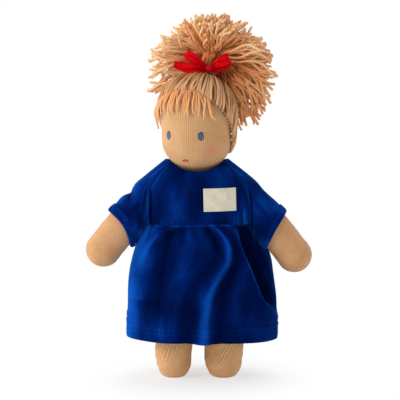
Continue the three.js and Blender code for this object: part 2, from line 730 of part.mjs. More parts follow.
// A flat ribbon through places of [x, y, z, share of its width, lean], where lean turns it from upright
function ribbonThrough(places) {
  const path = new THREE.CatmullRomCurve3(places.map(([x, y, z]) => point(x, y, z)));
  const rings = [];
  const steps = 4 * (places.length - 1);
  for (let i = 0; i <= steps; i++) {
    const share = i / steps;
    const slot = share * (places.length - 1);
    const low = Math.min(places.length - 2, Math.floor(slot));
    const mix = (k) => places[low][k] + (places[low + 1][k] - places[low][k]) * (slot - low);
    const ahead = path.getTangent(share);
    const lean = degrees(mix(4));
    const rough = point(Math.sin(lean), 0, Math.cos(lean));
    const wide = rough.addScaledVector(ahead, -rough.dot(ahead)).normalize();
    const thick = ahead.clone().cross(wide).normalize().multiplyScalar(ribbonWall / 2);
    const half = wide.multiplyScalar((mix(3) * ribbonWidth) / 2);
    const at = path.getPoint(share);
    rings.push([[1, 1], [-1, 1], [-1, -1], [1, -1]].map(([w, t]) =>
      at.clone().addScaledVector(half, w).addScaledVector(thick, t)));
  }
  return moved(loft(rings), toBow);
}
const bowStart = knotHalf.x + seat;
const bowPieces = {
  bow_loop_right: [[-bowStart, -0.9, 1.8, 0.3, 12], [-11, -3.6, 6.4, 0.9, 30], [-18, -3.4, 10.7, 1, 35],
    [-21.5, -1.2, 12.4, 0.8, 35], [-18.5, 0.8, 11.8, 0.9, 35], [-11, 1, 7.6, 0.8, 30],
    [-bowStart, 1.4, 2, 0.3, 12]],
  bow_loop_left: [[bowStart, -0.9, 1.8, 0.3, -12], [10, -3.6, 5.4, 0.9, -24], [16.5, -3.4, 8.6, 1, -24],
    [20.5, -1.2, 10.2, 0.9, -24], [17, 0.8, 9.6, 0.9, -24], [10, 1, 6.4, 0.8, -20],
    [bowStart, 1.4, 2, 0.3, -12]],
  bow_tail_right: [[-bowStart, -1.4, -1.6, 0.28, 0], [-14, -6.2, -0.4, 0.8, 6], [-23, -7.2, 1.4, 1, 10],
    [-34, -6.4, 4.6, 0.5, 14]],
  bow_tail_left: [[bowStart, 0.8, -1.6, 0.28, 0], [11, 2.8, -1, 0.7, -8], [18, 3, 0.8, 0.8, -12],
    [25, 2.8, 2.8, 0.8, -14]],
};
for (const [name, places] of Object.entries(bowPieces)) piece(name, ribbonThrough(places), satin, head);

// Dress: one outer form and one inner form of bodice and sleeves, cut apart along the raglan seams

const bodiceSides = 28;
// Height above the waist seam as a share of the bodice, then half width and half depth
const bodiceTop = neckZ + neckSideRise + 2;
const bodiceWaist = { x: torsoWidthAt(waistZ) + bodiceEase, y: torsoDepthAt(waistZ) + bodiceEase + 2 };
const bodiceShape = [
  [0, bodiceWaist.x, bodiceWaist.y], [0.18, bodiceWaist.x + 1.5, bodiceWaist.y + 0.5],
  [0.38, bodiceWaist.x - 2.5, bodiceWaist.y - 0.5], [0.58, neckHalfWidth * 1.29, neckHalfDepth * 1.19],
  [0.74, neckHalfWidth * 1.145, neckHalfDepth * 1.115], [0.86, neckHalfWidth * 1.065, neckHalfDepth * 1.04],
  [1, neckHalfWidth, neckHalfDepth * 0.96],
];
const bodiceHeight = bodiceTop - waistZ;
const depthPairs = bodiceShape.map(([share, , halfDepth]) => [share, halfDepth]);
const bodiceDepthAt = (z) => along(depthPairs, (z - waistZ) / bodiceHeight);

function bodiceForm(inset) {
  const level = (z, halfWidth, halfDepth) =>
    flatRing(z, halfWidth - inset, halfDepth - inset, bodiceSides, bodyPower);
  const rings = bodiceShape.map(([share, halfWidth, halfDepth]) =>
    level(waistZ + share * bodiceHeight, halfWidth, halfDepth));
  if (inset) rings.unshift(level(waistZ - 3 * velourWall, bodiceWaist.x, bodiceWaist.y));
  return loft(rings);
}

// A sleeve's rings stand between its upper and its lower line: shares of its length along the arm, and of
// its girth away from it, then half depths
const sleeveShape = [
  [-0.62, 0.1, 0.2, -0.9, 0.95], [-0.43, 0.32, 0.57, -0.99, 1.12], [-0.12, 0.7, 0.72, -0.9, 1.1],
  [0.35, 0.76, 0.93, -0.93, 1.02], [0.87, 0.98, 1.12, -1.03, 0.97],
];
function sleeveForm(arm, inset) {
  const girth = armRadius + sleeveEase;
  const place = (s, q) => arm.shoulder.clone()
    .addScaledVector(arm.along, s * sleeveLength).addScaledVector(arm.out, q * girth);
  const rings = sleeveShape.map(([topS, topQ, lowS, lowQ, deep]) => {
    const [top, low] = [place(topS, topQ), place(lowS, lowQ)];
    const half = top.clone().sub(low).multiplyScalar(0.5);
    const centre = top.add(low).multiplyScalar(0.5);
    half.setLength(half.length() - inset);
    return ring(centre, half, point(0, deep * girth - inset, 0), 22, 2.1);
  });
  if (inset) rings.push(rings[rings.length - 1].map((p) => p.clone().addScaledVector(arm.along, 6)));
  return loft(rings);
}

function dressForm(inset) {
  return bodiceForm(inset).add(sleeveForm(arms.right, inset)).add(sleeveForm(arms.left, inset));
}

// What the neckline leaves open: higher at the sides than in front
function neckOpening() {
  const outline = [];
  const wide = neckHalfWidth + 12;
  for (let i = 0; i <= 12; i++) {
    const x = -wide + (i * wide) / 6;
    const rise = (neckSideRise - neckFrontRise) * Math.min(1.4, (x / neckHalfWidth) ** 2);
    outline.push([x, neckZ + neckFrontRise + rise]);
  }
  outline.push([wide, wayOut], [-wide, wayOut]);
  const hole = loft([neckZ - 0.6 * neckSideRise, wayOut].map((z) =>
    flatRing(z, neckHalfWidth - 1.4, neckHalfDepth - 1.4, 32)));
  return slab(outline, -wayOut, wayOut).add(hole);
}

// Between the raglan seams: a body panel that is widest over the chest. The places on its seam are shares
// of the neckline's half width, and of the bodice's height over the neck opening.
const raglanSeam = [
  [0.774, 0.292], [1.02, 0.167], [1.29, -0.02], [1.5, -0.19], [1.645, -0.46], [1.645, -0.71], [1.645, -1.3],
];
const raglanFoot = 1.645 * neckHalfWidth; // at the armpit
function raglanPanel(grow) {
  const half = raglanSeam.map(([out, rise]) => [neckHalfWidth * out + grow, neckZ + waistBelow * rise]);
  return slab([...half, ...half.map(([x, z]) => [-x, z]).reverse()], -wayOut, wayOut);
}

const dress = dressForm(0).subtract(dressForm(velourWall)).subtract(neckOpening());
const panels = dress.intersect(raglanPanel(-seat / 2));
const frontHalf = block(point(-wayOut, -wayOut, waistZ), point(wayOut, -seat / 2, wayOut));
const backHalf = block(point(-wayOut, seat / 2, waistZ), point(wayOut, wayOut, wayOut));
const slitFoot = neckZ + neckFrontRise - slitLength;
const slit = block(point(-slitWidth / 2, 0, slitFoot), point(slitWidth / 2, wayOut, wayOut));
piece('bodice_front', panels.intersect(frontHalf), velour);
piece('bodice_back', panels.intersect(backHalf).subtract(slit), velour);

const outside = dress.subtract(raglanPanel(seat / 2));
const rightHalf = block(point(-wayOut, -wayOut, 0), point(0, wayOut, wayOut));
const leftHalf = block(point(0, -wayOut, 0), point(wayOut, wayOut, wayOut));
piece('right_sleeve', outside.intersect(rightHalf), velour);
piece('left_sleeve', outside.intersect(leftHalf), velour);

// Skirt: gathered to the waist seam, with the folds that it hangs in

const skirtColumns = 48;
const skirtRows = 9;
// Each fold: [share of the way down, degrees from the front] pairs, its half width in degrees, its height
const folds = [
  { path: [[0, 20], [0.28, 24], [0.53, 8], [0.8, 3], [1, 1]], width: 11, height: 5.5 },
  { path: [[0, 50], [0.36, 42], [0.57, 51], [0.75, 74], [1, 84]], width: 10, height: 6 },
  { path: [[0, 66], [0.36, 62], [0.6, 76], [1, 100]], width: 12, height: -8 },
  { path: [[0, -22], [0.4, -28], [1, -30]], width: 12, height: 2.5 },
  { path: [[0, -60], [0.5, -64], [1, -68]], width: 14, height: 3.5 },
  { path: [[0, 128], [0.5, 124], [1, 126]], width: 13, height: 4.5 },
  { path: [[0, 170], [0.5, 176], [1, 172]], width: 13, height: 5 },
  { path: [[0, 218], [0.5, 214], [1, 222]], width: 13, height: 4.5 },
  { path: [[0, 256], [0.5, 252], [1, 256]], width: 13, height: 4 },
];

// How far out from the middle the underside of a sleeve is at a height
function underSleeve(arm, z) {
  const girth = armRadius + sleeveEase;
  const places = sleeveShape.map((row) => arm.shoulder.clone()
    .addScaledVector(arm.along, row[2] * sleeveLength).addScaledVector(arm.out, row[3] * girth));
  const far = places[places.length - 1].clone().addScaledVector(arm.along, 30).addScaledVector(arm.out, 4);
  const pairs = [...places, far].map((p) => [p.z, arm.side * p.x]).reverse();
  return along(pairs, z);
}

// A point of the skirt's cloth: share of the way down, degrees from the front, inset through the cloth
function onSkirt(share, azimuth, inset) {
  const flare = 1 - (1 - share) ** 3.4;
  const halfWidth = bodiceWaist.x + (hemHalfWidth - bodiceWaist.x) * flare - inset;
  const halfDepth = bodiceWaist.y + (hemHalfDepth - bodiceWaist.y) * share ** 0.8 - inset;
  let rise = 0;
  for (const { path, width, height } of folds) {
    const off = ((azimuth - along(path, share) + 540) % 360) - 180;
    rise += height * smooth(share / 0.3) * bump(off, width);
  }
  const turn = degrees(azimuth);
  const across = Math.sign(Math.sin(turn)) * Math.abs(Math.sin(turn)) ** (2 / bodyPower);
  const ahead = Math.sign(Math.cos(turn)) * Math.abs(Math.cos(turn)) ** (2 / bodyPower);
  const z = waistZ - seat - share * skirtLength;
  const y = -(halfDepth + rise) * ahead;
  let x = hemShift * flare + (halfWidth + rise * 0.6) * across;
  const arm = x > 0 ? arms.left : arms.right;
  const room = Math.max(raglanFoot, underSleeve(arm, z)) - underArmEase;
  const over = Math.abs(x) + inset - room;
  if (over > 0) x -= arm.side * over * smooth((armRadius + 14 - Math.abs(y)) / 12);
  return point(x, y, z);
}

function makeSkirt() {
  const row = (share, inset) => {
    const points = [];
    for (let i = 0; i < skirtColumns; i++) points.push(onSkirt(share, (360 * i) / skirtColumns, inset));
    return points;
  };
  const rows = [];
  for (let i = 0; i <= skirtRows; i++) rows.push(row((i / skirtRows) ** 1.3, 0));
  for (let i = skirtRows; i >= 0; i--) rows.push(row((i / skirtRows) ** 1.3, velourWall));
  return loft(rows, true);
}
piece('skirt', makeSkirt(), velour);

// Label: a woven patch that lies on the chest
function makeLabel() {
  const [left, foot] = [labelX - labelWidth / 2, waistZ + labelAboveWaist - labelHeight / 2];
  const outline = [[left, foot], [left + labelWidth, foot], [left + labelWidth, foot + labelHeight],
    [left, foot + labelHeight]];
  return dressForm(-seat - labelWall).subtract(dressForm(-seat)).intersect(slab(outline, -wayOut, 0));
}
piece('label', makeLabel(), tape);

// Back closing: a button beside the slit and a loop of thread round it
const buttonPlace = point(0, 0, neckZ - 1.5);
const backLean = Math.atan2(bodiceDepthAt(buttonPlace.z - 4) - bodiceDepthAt(buttonPlace.z + 4), 8);
const buttonAxis = point(0, Math.cos(backLean), Math.sin(backLean));
buttonPlace.y = bodiceDepthAt(buttonPlace.z) + seat + 0.1;

function makeButton() {
  const profile = [[0, 0], [0.8, 0], [1, 0.35], [1, 0.75], [0.85, 1], [0.55, 0.8], [0, 0.75]];
  const sized = profile.map(([wide, tall]) => [wide * buttonRadius, tall * buttonWall]);
  return turned(sized, 20, buttonPlace, buttonAxis);
}
piece('back_button', makeButton(), navyPlastic);

function makeButtonLoop() {
  const middle = buttonRadius + seat + loopThread;
  const section = [];
  for (let i = 0; i <= 6; i++) {
    const angle = (Math.PI * i) / 3;
    section.push([middle + loopThread * Math.cos(angle), loopThread * (1 + Math.sin(angle)) + 0.25]);
  }
  return turned(section, 20, buttonPlace, buttonAxis);
}
piece('button_loop', makeButtonLoop(), blueThread);

export default doll;
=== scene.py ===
import math

import bpy
import numpy as np
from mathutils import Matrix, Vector
from mathutils.bvhtree import BVHTree


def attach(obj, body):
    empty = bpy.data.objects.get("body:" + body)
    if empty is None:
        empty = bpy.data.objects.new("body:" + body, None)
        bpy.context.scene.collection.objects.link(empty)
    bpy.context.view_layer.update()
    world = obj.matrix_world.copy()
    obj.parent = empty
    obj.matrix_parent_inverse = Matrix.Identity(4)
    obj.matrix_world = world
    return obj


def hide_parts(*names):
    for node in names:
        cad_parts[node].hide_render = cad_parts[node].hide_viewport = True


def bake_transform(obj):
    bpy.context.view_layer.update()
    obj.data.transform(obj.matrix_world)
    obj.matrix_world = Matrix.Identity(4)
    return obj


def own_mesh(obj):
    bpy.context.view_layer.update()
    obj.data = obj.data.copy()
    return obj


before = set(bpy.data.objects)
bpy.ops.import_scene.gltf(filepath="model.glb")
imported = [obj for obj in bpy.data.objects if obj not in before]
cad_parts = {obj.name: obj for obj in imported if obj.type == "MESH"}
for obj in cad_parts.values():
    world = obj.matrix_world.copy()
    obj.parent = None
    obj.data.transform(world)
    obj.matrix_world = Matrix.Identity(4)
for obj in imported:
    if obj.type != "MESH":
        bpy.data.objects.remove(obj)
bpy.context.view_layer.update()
bpy.ops.object.select_all(action="DESELECT")

mm = 0.001
# The body's upright axis on the floor, the levels above it, and how far the head is turned
doll = dict(axis=(-1.9, -12.0), hip=94.0, waist=156.0, collar=204.0, chin=207.5, headTurn=-23.4)
bodyPower = 2.3          # how square a section of the body is: 2 would be an ellipse


# Camera, stage and light

def radians(angle):
    return angle * math.pi / 180


camera = dict(target=(1.1, -12, 179.3), distance=1600, elevation=7, lens=144)


def makeCamera():
    tilt = radians(camera["elevation"])
    away = Vector((0, -math.cos(tilt), math.sin(tilt))) * camera["distance"]
    bpy.ops.object.camera_add(location=(Vector(camera["target"]) + away) * mm,
                              rotation=(math.pi / 2 - tilt, 0, 0))
    seen = bpy.context.object
    seen.data.lens = camera["lens"]
    seen.data.clip_start = 0.05
    bpy.context.scene.camera = seen
    bpy.context.scene.view_settings.view_transform = "Standard"


makeCamera()


def linear(hexColour):
    channels = [int(hexColour[i:i + 2], 16) / 255 for i in (1, 3, 5)]
    return tuple(c / 12.92 if c <= 0.04045 else ((c + 0.055) / 1.055) ** 2.4 for c in channels) + (1.0,)


# Adds a node with its settings, its inputs as values or links, and its ramp's colours, and gives an output
def addNode(tree, kind, inputs=None, out=0, stops=(), **settings):
    node = tree.nodes.new("ShaderNode" + kind)
    for key, value in settings.items():
        setattr(node, key, value)
    for key, value in (inputs or {}).items():
        if isinstance(value, bpy.types.NodeSocket):
            tree.links.new(value, node.inputs[key])
        else:
            node.inputs[key].default_value = value
    for _ in stops[2:]:
        node.color_ramp.elements.new(0.5)
    for i, (at, tone) in enumerate(stops):
        node.color_ramp.elements[i].position = at
        node.color_ramp.elements[i].color = linear(tone)
    return node.outputs[out] if node.outputs else None


# Empties the node tree of a new material or world
def emptyTree(owner):
    owner.use_nodes = True
    owner.node_tree.nodes.clear()
    return owner.node_tree


def newMaterial(name, **sockets):
    material = bpy.data.materials.new(name)
    tree = emptyTree(material)
    shader = addNode(tree, "BsdfPrincipled", {key.replace("_", " "): value for key, value in sockets.items()})
    addNode(tree, "OutputMaterial", {"Surface": shader})
    return material, tree, shader.node.inputs


# To the camera the floor shines white, by the share glow within near of the middle and wholly past far
stage = dict(metres=40, middle=(0, -20, 0), near=20, far=130, floorTone="#f4f4f4", glow=0.6, world=0.36,
             lampAim=170)
lamps = [
    dict(name="key", at=(-1150, -750, 800), size=600, power=12),
    dict(name="front", at=(250, -1500, 250), size=900, power=5),
    dict(name="top", at=(100, 300, 1300), size=600, power=5),
    dict(name="left_rim", at=(-1300, 350, 350), size=500, power=9),
    dict(name="right_rim", at=(1300, 350, 350), size=500, power=4.5),
]


# 1 where the camera sees a surface straight, mirrored or through something clear, 0 where it lights others
def seenByCamera(tree):
    path = addNode(tree, "LightPath").node.outputs
    seen = addNode(tree, "Math", {0: path["Is Camera Ray"], 1: path["Is Glossy Ray"]}, operation="MAXIMUM")
    return addNode(tree, "Math", {0: seen, 1: path["Is Transmission Ray"]}, operation="MAXIMUM")


# Matt white board: white to the camera, and still darker where the doll keeps the light off.
def makeStage():
    bpy.ops.mesh.primitive_plane_add(size=stage["metres"])
    floor = bpy.context.object
    floor.name = "stage_floor"
    material = bpy.data.materials.new("matt white board")
    tree = emptyTree(material)
    seen = seenByCamera(tree)
    spot = addNode(tree, "TexCoord", out="Object")
    distance = addNode(tree, "VectorMath", {0: spot, 1: Vector(stage["middle"]) * mm}, "Value",
                       operation="DISTANCE")
    away = addNode(tree, "MapRange", {"Value": distance, "From Min": stage["near"] * mm,
                                      "From Max": stage["far"] * mm, "To Min": stage["glow"]},
                   interpolation_type="SMOOTHSTEP")
    white = addNode(tree, "Emission", {"Color": (1, 1, 1, 1), "Strength": seen})
    board = addNode(tree, "BsdfDiffuse", {"Color": linear(stage["floorTone"])})
    blank = addNode(tree, "Math", {0: away, 1: seen}, operation="MULTIPLY")
    mixed = addNode(tree, "MixShader", {0: blank, 1: board, 2: white})
    addNode(tree, "OutputMaterial", {"Surface": mixed})
    floor.data.materials.append(material)

    world = bpy.data.worlds.new("pale studio")
    bpy.context.scene.world = world
    tree = emptyTree(world)
    strength = addNode(tree, "MapRange", {"Value": seenByCamera(tree), "To Min": stage["world"]})
    sky = addNode(tree, "Background", {"Color": (1, 1, 1, 1), "Strength": strength})
    addNode(tree, "OutputWorld", {"Surface": sky})

    for lamp in lamps:
        bpy.ops.object.light_add(type="AREA", location=Vector(lamp["at"]) * mm)
        light = bpy.context.object
        light.name = "lamp_" + lamp["name"]
        light.data.shape = "DISK"
        light.data.size = lamp["size"] * mm
        light.data.energy = lamp["power"]
        towards = Vector((0, 0, stage["lampAim"] * mm)) - light.location
        light.rotation_euler = towards.to_track_quat("-Z", "Y").to_euler()


makeStage()
print("camera, stage and light")


# Shapes

def unit(vectors):
    vectors = np.asarray(vectors, float)
    return vectors / np.maximum(np.linalg.norm(vectors, axis=-1, keepdims=True), 1e-9)


def smoothStep(t):
    t = np.clip(t, 0, 1)
    return t * t * (3 - 2 * t)


def hump(x, width):
    return np.exp(-(np.asarray(x, float) / width) ** 2)


# Angles that share out a full turn
def turnAngles(count):
    return np.linspace(0, 2 * math.pi, count, endpoint=False)


# Degrees from the front, between -180 and 180
def fromFront(angle):
    return (angle + 180) % 360 - 180


# Points from three coordinates, each a number or an array that fits the others
def pointsAt(x, y, z):
    return np.stack(np.broadcast_arrays(x, y, z), -1)


# Smooth values at t through rows of [t, value, value...]. Steady ones never pass beyond their neighbours.
def through(keys, t, steady=False):
    keys = np.asarray(keys, float)
    at, values = keys[:, 0], keys[:, 1:]
    slopes = np.gradient(values, at, axis=0)
    if steady:
        steps = np.diff(values, axis=0) / np.diff(at)[:, None]
        before, after = steps[:-1], steps[1:]
        shared = 2 * before * after / np.where(before * after > 0, before + after, 1)
        slopes[1:-1] = np.where(before * after > 0, shared, 0)
    t = np.clip(np.asarray(t, float), at[0], at[-1])
    i = np.clip(np.searchsorted(at, t, side="right") - 1, 0, len(at) - 2)
    span = (at[i + 1] - at[i])[..., None]
    u = (t - at[i])[..., None] / span
    return (values[i] * (1 + 2 * u) * (1 - u) ** 2 + values[i + 1] * u * u * (3 - 2 * u)
            + slopes[i] * span * u * (1 - u) ** 2 + slopes[i + 1] * span * u * u * (u - 1))


# Cosine and sine of an angle, with their corners squared by a power over 2
def squared(angle, power):
    c, s = np.cos(angle), np.sin(angle)
    return np.sign(c) * np.abs(c) ** (2 / power), np.sign(s) * np.abs(s) ** (2 / power)


# From the doll's own millimetres to the frame's
def place(points):
    return np.asarray(points, float) + [*doll["axis"], 0]


# From the head's own millimetres, above the chin and facing -Y, to the doll's
def placeHead(points):
    points = np.asarray(points, float)
    c, s = math.cos(radians(doll["headTurn"])), math.sin(radians(doll["headTurn"]))
    x, y, z = points[..., 0], points[..., 1], points[..., 2]
    return pointsAt(c * x - s * y, s * x + c * y, z + doll["chin"])


def newPiece(name, points, quads, tris, uvs, material, attributes=None):
    mesh = bpy.data.meshes.new(name)
    mesh.from_pydata((place(points) * mm).tolist(), [], quads.tolist() + tris.tolist())
    layer = mesh.uv_layers.new(name="UVMap")
    layer.data.foreach_set("uv", np.ascontiguousarray(uvs, np.float32).ravel())
    for key, values in (attributes or {}).items():
        mesh.attributes.new(key, "FLOAT", "POINT").data.foreach_set("value", np.asarray(values, np.float32))
    mesh.materials.append(material)
    mesh.validate()
    piece = bpy.data.objects.new(name, mesh)
    bpy.context.scene.collection.objects.link(piece)
    for face in mesh.polygons:
        face.use_smooth = True
    return piece


def selectOnly(piece):
    bpy.ops.object.select_all(action="DESELECT")
    piece.select_set(True)
    bpy.context.view_layer.objects.active = piece


def applyModifier(piece, kind, **settings):
    modifier = piece.modifiers.new(kind.lower(), kind)
    for key, value in settings.items():
        setattr(modifier, key, value)
    selectOnly(piece)
    bpy.ops.object.modifier_apply(modifier=modifier.name)


def shadeByAngle(piece, angle):
    selectOnly(piece)
    bpy.ops.object.shade_smooth_by_angle(angle=radians(angle))
    piece.select_set(False)


# Gives a sheet its wall, inwards from its face, and keeps the cut edges crisp
def thicken(piece, wall, offset=-1.0):
    applyModifier(piece, "SOLIDIFY", thickness=wall * mm, offset=offset, use_even_offset=False)
    shadeByAngle(piece, 55)


# Lengths along the rows and down the columns of a grid of points, as texture places in millimetres
def clothPlaces(points, closed, looped=False):
    ring = np.concatenate([points, points[:, :1]], 1) if closed else points
    points = np.concatenate([points, points[:1]]) if looped else points
    across = np.linalg.norm(np.diff(ring, axis=1), axis=-1).mean(0)
    down = np.linalg.norm(np.diff(points, axis=0), axis=-1).mean(1)
    u = np.concatenate([[0], np.cumsum(across)])
    v = np.concatenate([[0], np.cumsum(down)])
    return np.stack(np.broadcast_arrays(u[None, :], v[:, None]), -1)


# A skin over a grid of points. Where it is closed its last column meets its first, where it is looped its
# last row meets its first, and poles close its ends.
def gridPiece(name, points, material, closed=True, poles=(None, None), inside=None, places=None,
              attributes=None, looped=False):
    rows, columns = points.shape[:2]
    places = clothPlaces(points, closed, looped) if places is None else places
    index = np.arange(rows * columns).reshape(rows, columns)
    last = columns if closed else columns - 1
    r, c = np.meshgrid(np.arange(rows if looped else rows - 1), np.arange(last), indexing="ij")
    n, m = (c + 1) % columns, (r + 1) % rows
    quads = np.stack([index[r, c], index[r, n], index[m, n], index[m, c]], -1).reshape(-1, 4)
    quadPlaces = np.stack([places[r, c], places[r, c + 1], places[r + 1, c + 1], places[r + 1, c]], -2)
    quadPlaces = quadPlaces.reshape(-1, 4, 2)
    flat = points.reshape(-1, 3)
    tris, triPlaces = np.zeros((0, 3), int), np.zeros((0, 3, 2))
    extra = []
    for row, pole in ((0, poles[0]), (rows - 1, poles[1])):
        if pole is None:
            continue
        centre = np.full(columns, len(flat) + len(extra))
        extra.append(pole)
        k = np.arange(columns)
        fan = [index[row, k], centre, index[row, (k + 1) % columns]]
        spots = [places[row, k], (places[row, k] + places[row, k + 1]) / 2, places[row, k + 1]]
        if row:
            fan, spots = fan[::-1], spots[::-1]
        tris = np.concatenate([tris, np.stack(fan, -1)])
        triPlaces = np.concatenate([triPlaces, np.stack(spots, -2)])
    if extra:
        flat = np.concatenate([flat, np.array(extra, float)])
    corners = flat[quads]
    normals = np.cross(corners[:, 2] - corners[:, 0], corners[:, 3] - corners[:, 1])
    if inside is not None and ((corners.mean(1) - inside) * normals).sum() < 0:
        quads, quadPlaces = quads[:, ::-1], quadPlaces[:, ::-1]
        tris, triPlaces = tris[:, ::-1], triPlaces[:, ::-1]
    uvs = np.concatenate([quadPlaces.reshape(-1, 2), triPlaces.reshape(-1, 2)])
    values = {key: np.concatenate([np.ravel(v), np.full(len(extra), np.mean(v))])
              for key, v in (attributes or {}).items()}
    return newPiece(name, flat, quads, tris, uvs, material, values)


# Round threads along paths of shape (threads, points, 3). Texture places are turns round, millimetres along.
def threadPiece(name, paths, radii, material, sides=6, attributes=None):
    paths = np.asarray(paths, float)
    threads, steps = paths.shape[:2]
    radii = np.broadcast_to(np.asarray(radii, float), (threads, steps))
    ahead = unit(np.gradient(paths, axis=1))
    across = np.zeros_like(paths)
    across[:, 0] = unit(np.cross(ahead[:, 0], unit([0.31, 0.2, 0.93])))
    for i in range(1, steps):
        lean = (across[:, i - 1] * ahead[:, i]).sum(-1, keepdims=True)
        across[:, i] = unit(across[:, i - 1] - lean * ahead[:, i])
    beside = np.cross(ahead, across)
    turn = np.arange(sides) * 2 * math.pi / sides
    ring = (across[:, :, None] * np.cos(turn)[:, None] + beside[:, :, None] * np.sin(turn)[:, None])
    points = paths[:, :, None] + ring * radii[:, :, None, None]
    tips = np.stack([paths[:, 0] - ahead[:, 0] * radii[:, :1] * 0.5,
                     paths[:, -1] + ahead[:, -1] * radii[:, -1:] * 0.5], 1)
    per = steps * sides + 2
    flat = np.concatenate([points.reshape(threads, -1, 3), tips], 1).reshape(-1, 3)
    i, j = np.meshgrid(np.arange(steps - 1), np.arange(sides), indexing="ij")
    n = (j + 1) % sides
    row, nextRow = i * sides, (i + 1) * sides
    quad = np.stack([row + j, row + n, nextRow + n, nextRow + j], -1).reshape(-1, 4)
    quads = (quad[None] + np.arange(threads)[:, None, None] * per).reshape(-1, 4)
    k = np.arange(sides)
    low = np.stack([k, np.full(sides, steps * sides), (k + 1) % sides], -1)
    high = (steps - 1) * sides + np.stack([(k + 1) % sides, np.full(sides, sides + 1), k], -1)
    tri = np.concatenate([low, high])
    tris = (tri[None] + np.arange(threads)[:, None, None] * per).reshape(-1, 3)
    long = np.concatenate([np.zeros((threads, 1)),
                           np.cumsum(np.linalg.norm(np.diff(paths, axis=1), axis=-1), 1)], 1)
    u = np.stack([j, j + 1, j + 1, j], -1).reshape(-1, 4) / sides
    rows = np.stack([i, i, i + 1, i + 1], -1).reshape(-1, 4)
    quadPlaces = np.stack([np.broadcast_to(u, (threads,) + u.shape), long[:, rows]], -1)
    triPlaces = np.zeros((threads, 2 * sides, 3, 2))
    triPlaces[:, sides:, :, 1] = long[:, -1][:, None, None]
    uvs = np.concatenate([quadPlaces.reshape(-1, 2), triPlaces.reshape(-1, 2)])
    values = {}
    for key, value in (attributes or {}).items():
        value = np.broadcast_to(np.asarray(value, float), (threads, steps))
        rounds = np.repeat(value, sides, 1)
        values[key] = np.concatenate([rounds, value[:, :1], value[:, -1:]], 1).ravel()
    return newPiece(name, flat, quads, tris, uvs, material, values)


# Points on smooth curves through places of shape (curves, places, 3)
def curvesThrough(places, steps):
    places = np.asarray(places, float)
    t = np.linspace(0, places.shape[1] - 1, steps)
    keys = np.arange(places.shape[1])
    return np.stack([through(np.column_stack([keys, curve]), t) for curve in places])


# Materials

# A wave texture at this scale has its bands one unit of the texture apart
bandScale = 2 * math.pi / 20


# Ends a material with its colour and the fine relief of its surface, whose depth is in millimetres
def finishMaterial(tree, shader, colour, height, strength, depth):
    bump = addNode(tree, "Bump", {"Height": height, "Strength": strength, "Distance": depth * mm})
    tree.links.new(colour, shader["Base Color"])
    tree.links.new(bump, shader["Normal"])


# Fine rib jersey of cotton, pulled over wool: matt, with upright ribs, and painted shade in the grooves
# between them.
# Its ribs are about 1 mm apart in the real cloth, and are drawn coarser so that they show.
def makeJersey(name, ribs, pale, mid, deep, grooveShade=0.42, waver=1.1, grain=0.28):
    material, tree, shader = newMaterial(name, Roughness=0.9, Sheen_Weight=0.2, Sheen_Roughness=0.5,
                                         Sheen_Tint=linear("#ffe6c8"), Specular_IOR_Level=0.25)
    places = addNode(tree, "UVMap", uv_map="UVMap")
    rib = addNode(tree, "TexWave", {"Vector": places, "Scale": bandScale / ribs, "Distortion": waver,
                                    "Detail": 1.0, "Detail Scale": 0.22}, "Fac")
    stitch = addNode(tree, "TexWave", {"Vector": places, "Scale": bandScale / ribs, "Distortion": 3.0,
                                       "Detail": 1.0, "Detail Scale": 0.4}, "Fac", bands_direction="Y")
    cloud = addNode(tree, "TexNoise", {"Vector": places, "Scale": 1 / 16}, "Fac")
    fuzz = addNode(tree, "TexNoise", {"Vector": places, "Scale": 1 / 1.3, "Detail": 1.0}, "Fac")
    base = addNode(tree, "ValToRGB", {"Fac": cloud}, stops=[[0.3, mid], [0.7, pale]])
    # Painted shade: the dark colour deep fills the grooves between the ribs, and random flecks darken it a
    # little
    grooveShadeAndFlecks = addNode(tree, "Math", {0: rib, 1: -grooveShade, 2: grooveShade}, operation="MULTIPLY_ADD")
    grooveShadeAndFlecks = addNode(tree, "Math", {0: fuzz, 1: grain, 2: grooveShadeAndFlecks}, operation="MULTIPLY_ADD")
    knit = addNode(tree, "Mix", {0: grooveShadeAndFlecks, 6: base, 7: linear(deep)}, 2, data_type="RGBA")
    blush = addNode(tree, "Attribute", out="Fac", attribute_name="blush")
    colour = addNode(tree, "Mix", {0: blush, 6: knit, 7: linear("#cf7f62")}, 2, data_type="RGBA")
    height = addNode(tree, "Math", {0: stitch, 1: 0.2, 2: rib}, operation="MULTIPLY_ADD")
    finishMaterial(tree, shader, colour, height, 0.5, 0.25)
    return material
